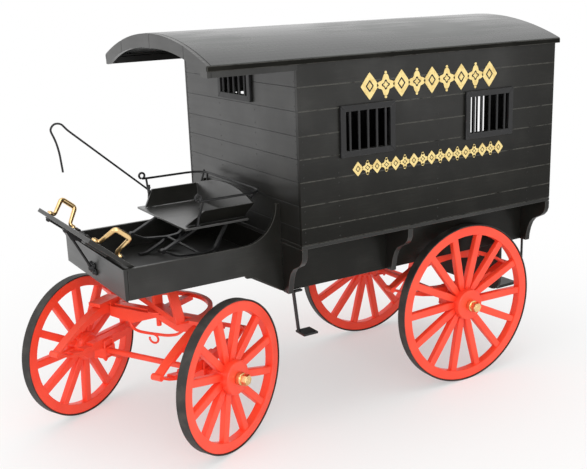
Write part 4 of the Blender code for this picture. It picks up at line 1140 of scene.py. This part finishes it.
# %% Tail door
DOOR_FACE = SIDE_HIGH.y + 0.8 * MM
DOOR_EDGES = [x * MM for x in (-32.4, -22.0, -12.0, 0.0, 12.0, 22.0, 32.4)]
DOOR_SPAN = (170.6 * MM, 299.4 * MM)
DOOR_HOLE = (212.0 * MM, 274.0 * MM, -12.0 * MM, 12.0 * MM)
DOOR_FRAME = ((-16.0, -11.6, 208.0, 278.0), (11.6, 16.0, 208.0, 278.0))
DOOR_FRAME += ((-11.5, 11.5, 208.0, 212.4), (-11.5, 11.5, 273.6, 278.0))
HINGE_HEIGHTS = (192.0 * MM, 286.0 * MM)
HINGE_LINE, HINGE_Y = 35.5 * MM, SIDE_HIGH.y + 2.2 * MM
HINGE_PIN = Matrix.Translation((HINGE_LINE, HINGE_Y, 0))
BARREL_R = 1.7 * MM
PINTLE = 4.0 * MM
TAILWARD = Vector((0, 1, 0))


def on_door(u, v, w):
    """Sends (up, along, out) to the door's face."""
    return Vector((v, DOOR_FACE + w, u))


def add_plate(builder, x_span, face, thick, z_span, index, ease=0.25 * MM):
    """An iron plate on a wall that looks toward the tail, let into it by a hair."""
    low, high = zip(x_span, (face, face + thick), z_span)
    add_box(builder, low, high, index=index, ease=ease)


board_wall("door_boards", "rear_door", DOOR_SPAN, DOOR_EDGES, [DOOR_HOLE], on_door, BLACK_ALONG_Z)
SUNK = DOOR_FACE - 0.2 * MM
builder = new_builder()
for x0, x1, z0, z1 in DOOR_FRAME:
    add_plate(builder, (x0 * MM, x1 * MM), SUNK, 1.2 * MM, (z0 * MM, z1 * MM), 3)
for x in (-6.0, 0.0, 6.0):
    bar = Matrix.Translation((x * MM, DOOR_FACE - 1.5 * MM, 0))
    add_turned(builder, in_mm([(1.1, 210.0), (1.1, 276.0)]), bar, 12, closed=False)
for z in HINGE_HEIGHTS:
    add_plate(builder, (-24.0 * MM, HINGE_LINE), SUNK, 1.4 * MM, (z, z + 5.0 * MM), 4, 0.35 * MM)
    barrel = [(BARREL_R, z - BARREL_R), (BARREL_R, z + 5.8 * MM), (1.2 * MM, z + 6.2 * MM)]
    add_turned(builder, barrel, HINGE_PIN, 20, closed=False)
    for x in (-20.0, -6.0, 8.0, 22.0):
        add_screw(builder, Vector((x * MM, DOOR_FACE + 1.2 * MM, z + 2.5 * MM)), TAILWARD)
add_plate(builder, (-30.0 * MM, -22.0 * MM), SUNK, 1.6 * MM, (222.0 * MM, 227.0 * MM), 5, 0.4 * MM)
hasp = Vector((-26.0 * MM, DOOR_FACE + 1.3 * MM, 224.5 * MM))
knob = Matrix.Translation(hasp) @ Matrix.Rotation(-math.pi / 2, 4, "X")
add_turned(builder, in_mm([(2.2, 0.0), (2.2, 0.8), (1.0, 2.2)]), knob, 20, closed=False)
piece("door_irons", builder, IRON, "door", "black_iron")

builder = new_builder()
for z in HINGE_HEIGHTS:
    top = z - BARREL_R - 0.3 * MM
    foot = top - PINTLE
    add_turned(builder, [(BARREL_R, foot), (BARREL_R, top)], HINGE_PIN, 20, closed=False)
    plate = (HINGE_LINE - BARREL_R * 0.7, HINGE_LINE + 9.0 * MM)
    add_plate(builder, plate, SIDE_HIGH.y - 0.5 * MM, 1.7 * MM, (foot, top), 7)
    for x in (4.0, 7.0):
        spot = Vector((HINGE_LINE + x * MM, SIDE_HIGH.y + 1.2 * MM, top - PINTLE / 2))
        add_screw(builder, spot, TAILWARD, 0.8 * MM)
piece("door_pintles", builder, IRON, "wagon", "black_iron")

# %% [markdown]
# The small irons. A stay with a forged boss holds the toe board off the front panel, and two
# bolts and a hinge show along its edge. A strap is screwed along the end of the seat, a knob
# stands on the seat's back rail, and an iron hangs beside the tail. Clips with nuts tie each
# spring to its axle. Bar iron is drawn as tubes, and bosses are turned.

# %% Small irons
TOE_BACK = 3.7
STAY_CHEEK = ((4, 0), (20, 0), (20, -1.5), (12, -5), (4, -1.5))
BOSS_SPOT = at(0.0, -189.8, 153.5)
BOSS_SHAPE = ((1.0, 0.0), (1.0, 0.25), (0.72, 0.38), (0.62, 0.62), (0.5, 0.86), (0.25, 1.0))
LUGS = ((-6.0, 1.6, 2.6), (-1.8, -3.0, 2.2), (3.2, 2.6, 2.0), (5.4, -2.6, 2.9))
FORWARD, UP = Vector((0, -1, 0)), Vector((0, 0, 1))
HINGE_X, HINGE_ALONG = 44.0, 3.4
SEAT_STRAP = ((50.4, -117.6, 186.8), (52.6, -114.8, 203.5))
KNOB_POST = ((-53.7, -64.0, 196.9), (-52.6, -60.2, 208.3))
HANGER = ((70.0, 222.0, 131.0), (70.0, 222.0, 80.0), (78.0, 221.0, 75.5))
GEAR_TURN = math.radians(28.5)
GEAR_PIN = at(0.0, -136.5, 0.0)
CLIP_X, CLIP_Y = 5.4, 5.6


def add_boss(builder, spot, out, radius, proud):
    """A forged boss: a flange, a neck and a rounded end."""
    shape = [(radius * r, proud * h) for r, h in BOSS_SHAPE]
    add_turned(builder, shape, standing(spot, out), 20, closed=False)


builder = new_builder()
cheek = [toe_spot(0, along, off - TOE_BACK) for along, off in STAY_CHEEK]
outline = [(spot.y, spot.z) for spot in cheek]
add_board(builder, outline, lambda u, v, w: Vector((4.5 * MM + w, u, v)), 9.0 * MM, 3, 0.3 * MM)
add_tube(builder, [toe_spot(0, 10, -TOE_BACK - 2), BOSS_SPOT + at(0, -2.2, 1.0)], 1.1 * MM, 12)
add_boss(builder, BOSS_SPOT, FORWARD, 3.6 * MM, 4.4 * MM)
for x, z, wide in LUGS:
    add_boss(builder, BOSS_SPOT + at(x, 0, z), FORWARD, wide * MM, wide * 1.1 * MM)
piece("toe_stay", builder, IRON, "wagon", "black_iron", ("toe_brace",))

builder = new_builder()
for x in (-37.6, 7.2):
    add_boss(builder, toe_spot(x, 2.4, -3.5), -TOE_OFF, 3.0 * MM, 2.8 * MM)
hinge = standing(toe_spot(HINGE_X, HINGE_ALONG, 0.0), TOE_OFF)
add_box(builder, at(-7.0, -3.0, 0.0), at(7.0, 3.0, 0.8), hinge, 4)
for shift in (-5.0, -1.7, 1.7, 5.0):
    spot = toe_spot(HINGE_X + shift, HINGE_ALONG + shift % 2 - 1, 0.7)
    add_boss(builder, spot, TOE_OFF, 1.3 * MM, 1.2 * MM)
for x in (-51.0, 51.0):
    add_tube(builder, [toe_spot(x - 4, 34.5, 1.2), toe_spot(x + 4, 34.5, 1.2)], 1.3 * MM)
piece("toe_irons", builder, IRON, "wagon", "black_iron")

builder = new_builder()
for side in (-1, 1):
    foot, head = (at(side * x, y, z) for x, y, z in SEAT_STRAP)
    inward = -ACROSS * side
    add_tube(builder, [foot, head], 1.0 * MM, 12)
    for share in (0.15, 0.5, 0.85):
        add_screw(builder, foot.lerp(head, share) + inward * 0.6 * MM, inward, 1.2 * MM, 0.7 * MM)
foot, knob = (at(*spot) for spot in KNOB_POST)
add_tube(builder, [foot, knob], 0.9 * MM, 12)
add_boss(builder, knob - UP * 1.2 * MM, UP, 1.8 * MM, 3.2 * MM)
piece("seat_fittings", builder, IRON, "wagon", "black_iron")

builder = new_builder()
add_tube(builder, bent([at(*spot) for spot in HANGER], 3.0 * MM), 1.15 * MM, 12)
add_boss(builder, at(68.7, 222.0, 130.0), ACROSS, 2.6 * MM, 3.0 * MM)
piece("tail_hanger", builder, IRON, "wagon", "black_iron")


def add_clips(builder, middle, turn, foot, head):
    """Two bent bolts over a spring's lower leaf and round its axle, with nuts below."""
    place = Matrix.Translation(middle) @ Matrix.Rotation(turn, 4, "Z")
    for x in (-CLIP_X, CLIP_X):
        legs = ((-CLIP_Y, foot), (-CLIP_Y, head), (CLIP_Y, head), (CLIP_Y, foot))
        add_tube(builder, bent([place @ at(x, y, z) for y, z in legs], 1.6 * MM, 4), 0.95 * MM, 10)
        for y in (-CLIP_Y, CLIP_Y):
            add_boss(builder, place @ at(x, y, foot + 1.6), -UP, 1.9 * MM, 2.2 * MM)
    add_box(builder, at(-6.4, -6.8, foot + 1.5), at(6.4, 6.8, foot + 2.7), place, 2)


builder = new_builder()
for side in (-1, 1):
    spot = GEAR_PIN + Matrix.Rotation(GEAR_TURN, 3, "Z") @ at(side * 53.5, -12.8, 0)
    add_clips(builder, spot, GEAR_TURN, 56.8, 74.5)
piece("front_clips", builder, RED_PAINT, "front_gear", "red_iron")
builder = new_builder()
for side in (-1, 1):
    add_clips(builder, at(side * 58.0, 138.8, 0), 0.0, 68.6, 87.0)
piece("rear_clips", builder, RED_PAINT, "wagon", "red_iron")

# %% [markdown]
# Each board is held by painted nails over the posts inside: two to a board, in upright rows.
# They are only low domes, but a row of them tells the eye where the frame is.

# %% Nails
NAIL_R, NAIL_PROUD = 0.55 * MM, 0.22 * MM
NAIL_SHARES = (0.22, 0.78)
SIDE_ROWS = [y * MM for y in (-47.5, -14.5, 88.0, 194.5, 221.0)]
END_ROWS = [x * MM for x in (-96.0, -32.0, 32.0, 96.0)]


def nail_rows(builder, rows, to_space, out):
    """Upright rows of nails, two to each board of a wall."""
    for low, high in zip(SIDE_LEVELS, SIDE_LEVELS[1:]):
        for along in rows:
            for share in NAIL_SHARES:
                spot = to_space(along, low + (high - low) * share, 0.0)
                add_screw(builder, spot, out, NAIL_R, NAIL_PROUD)


builder = new_builder()
for side in (-1, 1):
    nail_rows(builder, SIDE_ROWS, on_side(side), side * ACROSS)
nail_rows(builder, END_ROWS, on_end(VAN_FRONT_Y, -1), FORWARD)
nail_rows(builder, END_ROWS, on_end(SIDE_HIGH.y, 1), TAILWARD)
piece("wall_nails", builder, BLACK_ALONG_Y, "wagon", "black_wood")

# %% [markdown]
# The floor and the light. The object stands on a flat pale sheet in a light tent: the world
# is an even white that lights it from all round. A broad lamp overhead gives the shadow under
# the wagon its soft shape, one in front wakes the toe board and the front wall, and one on
# the left draws out the wheels and the side. Near the wagon the sheet is a pale surface, but
# camera, glossy and clear rays see part of it as a white glow, which paints the wagon's shadow
# paler. Farther out it fades into pure white for those rays, so that no line shows where the
# floor ends, and metal sees the same white as the eye does.

# %% Floor and light
FLOOR_TONE = (0.90, 0.895, 0.885)
FLOOR_HALF = 3.0
FADE_NEAR, FADE_FAR = 0.10, 0.65
# The share of white glow near the wagon, which paints the wagon's shadow on the floor paler.
PALE_SHADOW = 0.40
WHITE = (1.0, 1.0, 1.0)
TENT_LIGHT = 0.85
SEEN_RAYS = ("Is Camera Ray", "Is Glossy Ray", "Is Transmission Ray")
LAMPS = (
    ("overhead", (0.2, -0.1, 1.7), (0, 0, 0.1), 1.2, 5.0),
    ("from_the_front", (0.3, -1.8, 1.1), (0, 0, 0.15), 1.0, 3.0),
    ("from_the_left", (1.35, -0.55, 0.70), (0, 0, 0.10), 0.9, 7.0),
)


def seen_directly(net):
    """1 for the rays that should find a white background, 0 for those that only light."""
    camera_ray, glossy_ray, clear_ray = (net.node("ShaderNodeLightPath", out=ray) for ray in SEEN_RAYS)
    return net.node("ShaderNodeClamp", None, {0: camera_ray + glossy_ray + clear_ray})


def studio_floor():
    data = bpy.data.meshes.new("studio_floor")
    corners = [(x * FLOOR_HALF, y * FLOOR_HALF, 0.0) for x, y in ((-1, -1), (1, -1), (1, 1), (-1, 1))]
    data.from_pydata(corners, [], [(0, 1, 2, 3)])
    made = bpy.data.objects.new("studio_floor", data)
    bpy.context.scene.collection.objects.link(made)
    finish = Finish("floor_sheet")
    finish.set(Base_Color=FLOOR_TONE, Roughness=0.9, Specular_IOR_Level=0.0)
    far = finish.node("ShaderNodeVectorMath", {"operation": "LENGTH"}, {0: finish.place()}, out=1)
    spread = far.between(FADE_NEAR, FADE_FAR)
    # A white glow for camera, glossy and clear rays: a part of it near the wagon paints the shadow paler, and
    # it grows to all white farther out.
    fade = (PALE_SHADOW + spread * (1 - PALE_SHADOW)) * seen_directly(finish)
    plain = Flow(finish, finish.shader.outputs[0])
    white = finish.node("ShaderNodeEmission", None, {"Color": WHITE, "Strength": 1.0})
    blend = finish.node("ShaderNodeMixShader", None, {0: fade, 1: plain, 2: white})
    finish.feed(finish.output.inputs["Surface"], blend)
    data.materials.append(finish.material)
    made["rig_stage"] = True


def soft_lamp(name, place, aim_at, size, power):
    lamp = bpy.data.lights.new(name, "AREA")
    lamp.shape = "DISK"
    lamp.size = size
    lamp.energy = power
    made = bpy.data.objects.new(name, lamp)
    made.location = place
    made.rotation_euler = (Vector(aim_at) - Vector(place)).to_track_quat("-Z", "Y").to_euler()
    bpy.context.scene.collection.objects.link(made)


def light_tent(strength):
    """A white world, whose light is a little weaker than the white that is seen."""
    world = bpy.data.worlds.new("light_tent")
    bpy.context.scene.world = world
    world.use_nodes = True
    tent = Net(world.node_tree)
    seen, light = (
        tent.node("ShaderNodeBackground", None, {"Color": WHITE, "Strength": value})
        for value in (1.0, strength)
    )
    blend = tent.node("ShaderNodeMixShader", None, {0: seen_directly(tent), 1: light, 2: seen})
    out = tent.tree.nodes.new("ShaderNodeOutputWorld")
    tent.feed(out.inputs["Surface"], blend)


studio_floor()
for lamp in LAMPS:
    soft_lamp(*lamp)
light_tent(TENT_LIGHT)

# %% [markdown]
# Last, the box round the dressed model is printed, in millimetres.

# %% Size and finish
low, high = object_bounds()
print("size in mm", [round((b - a) / MM, 1) for a, b in zip(low, high)])
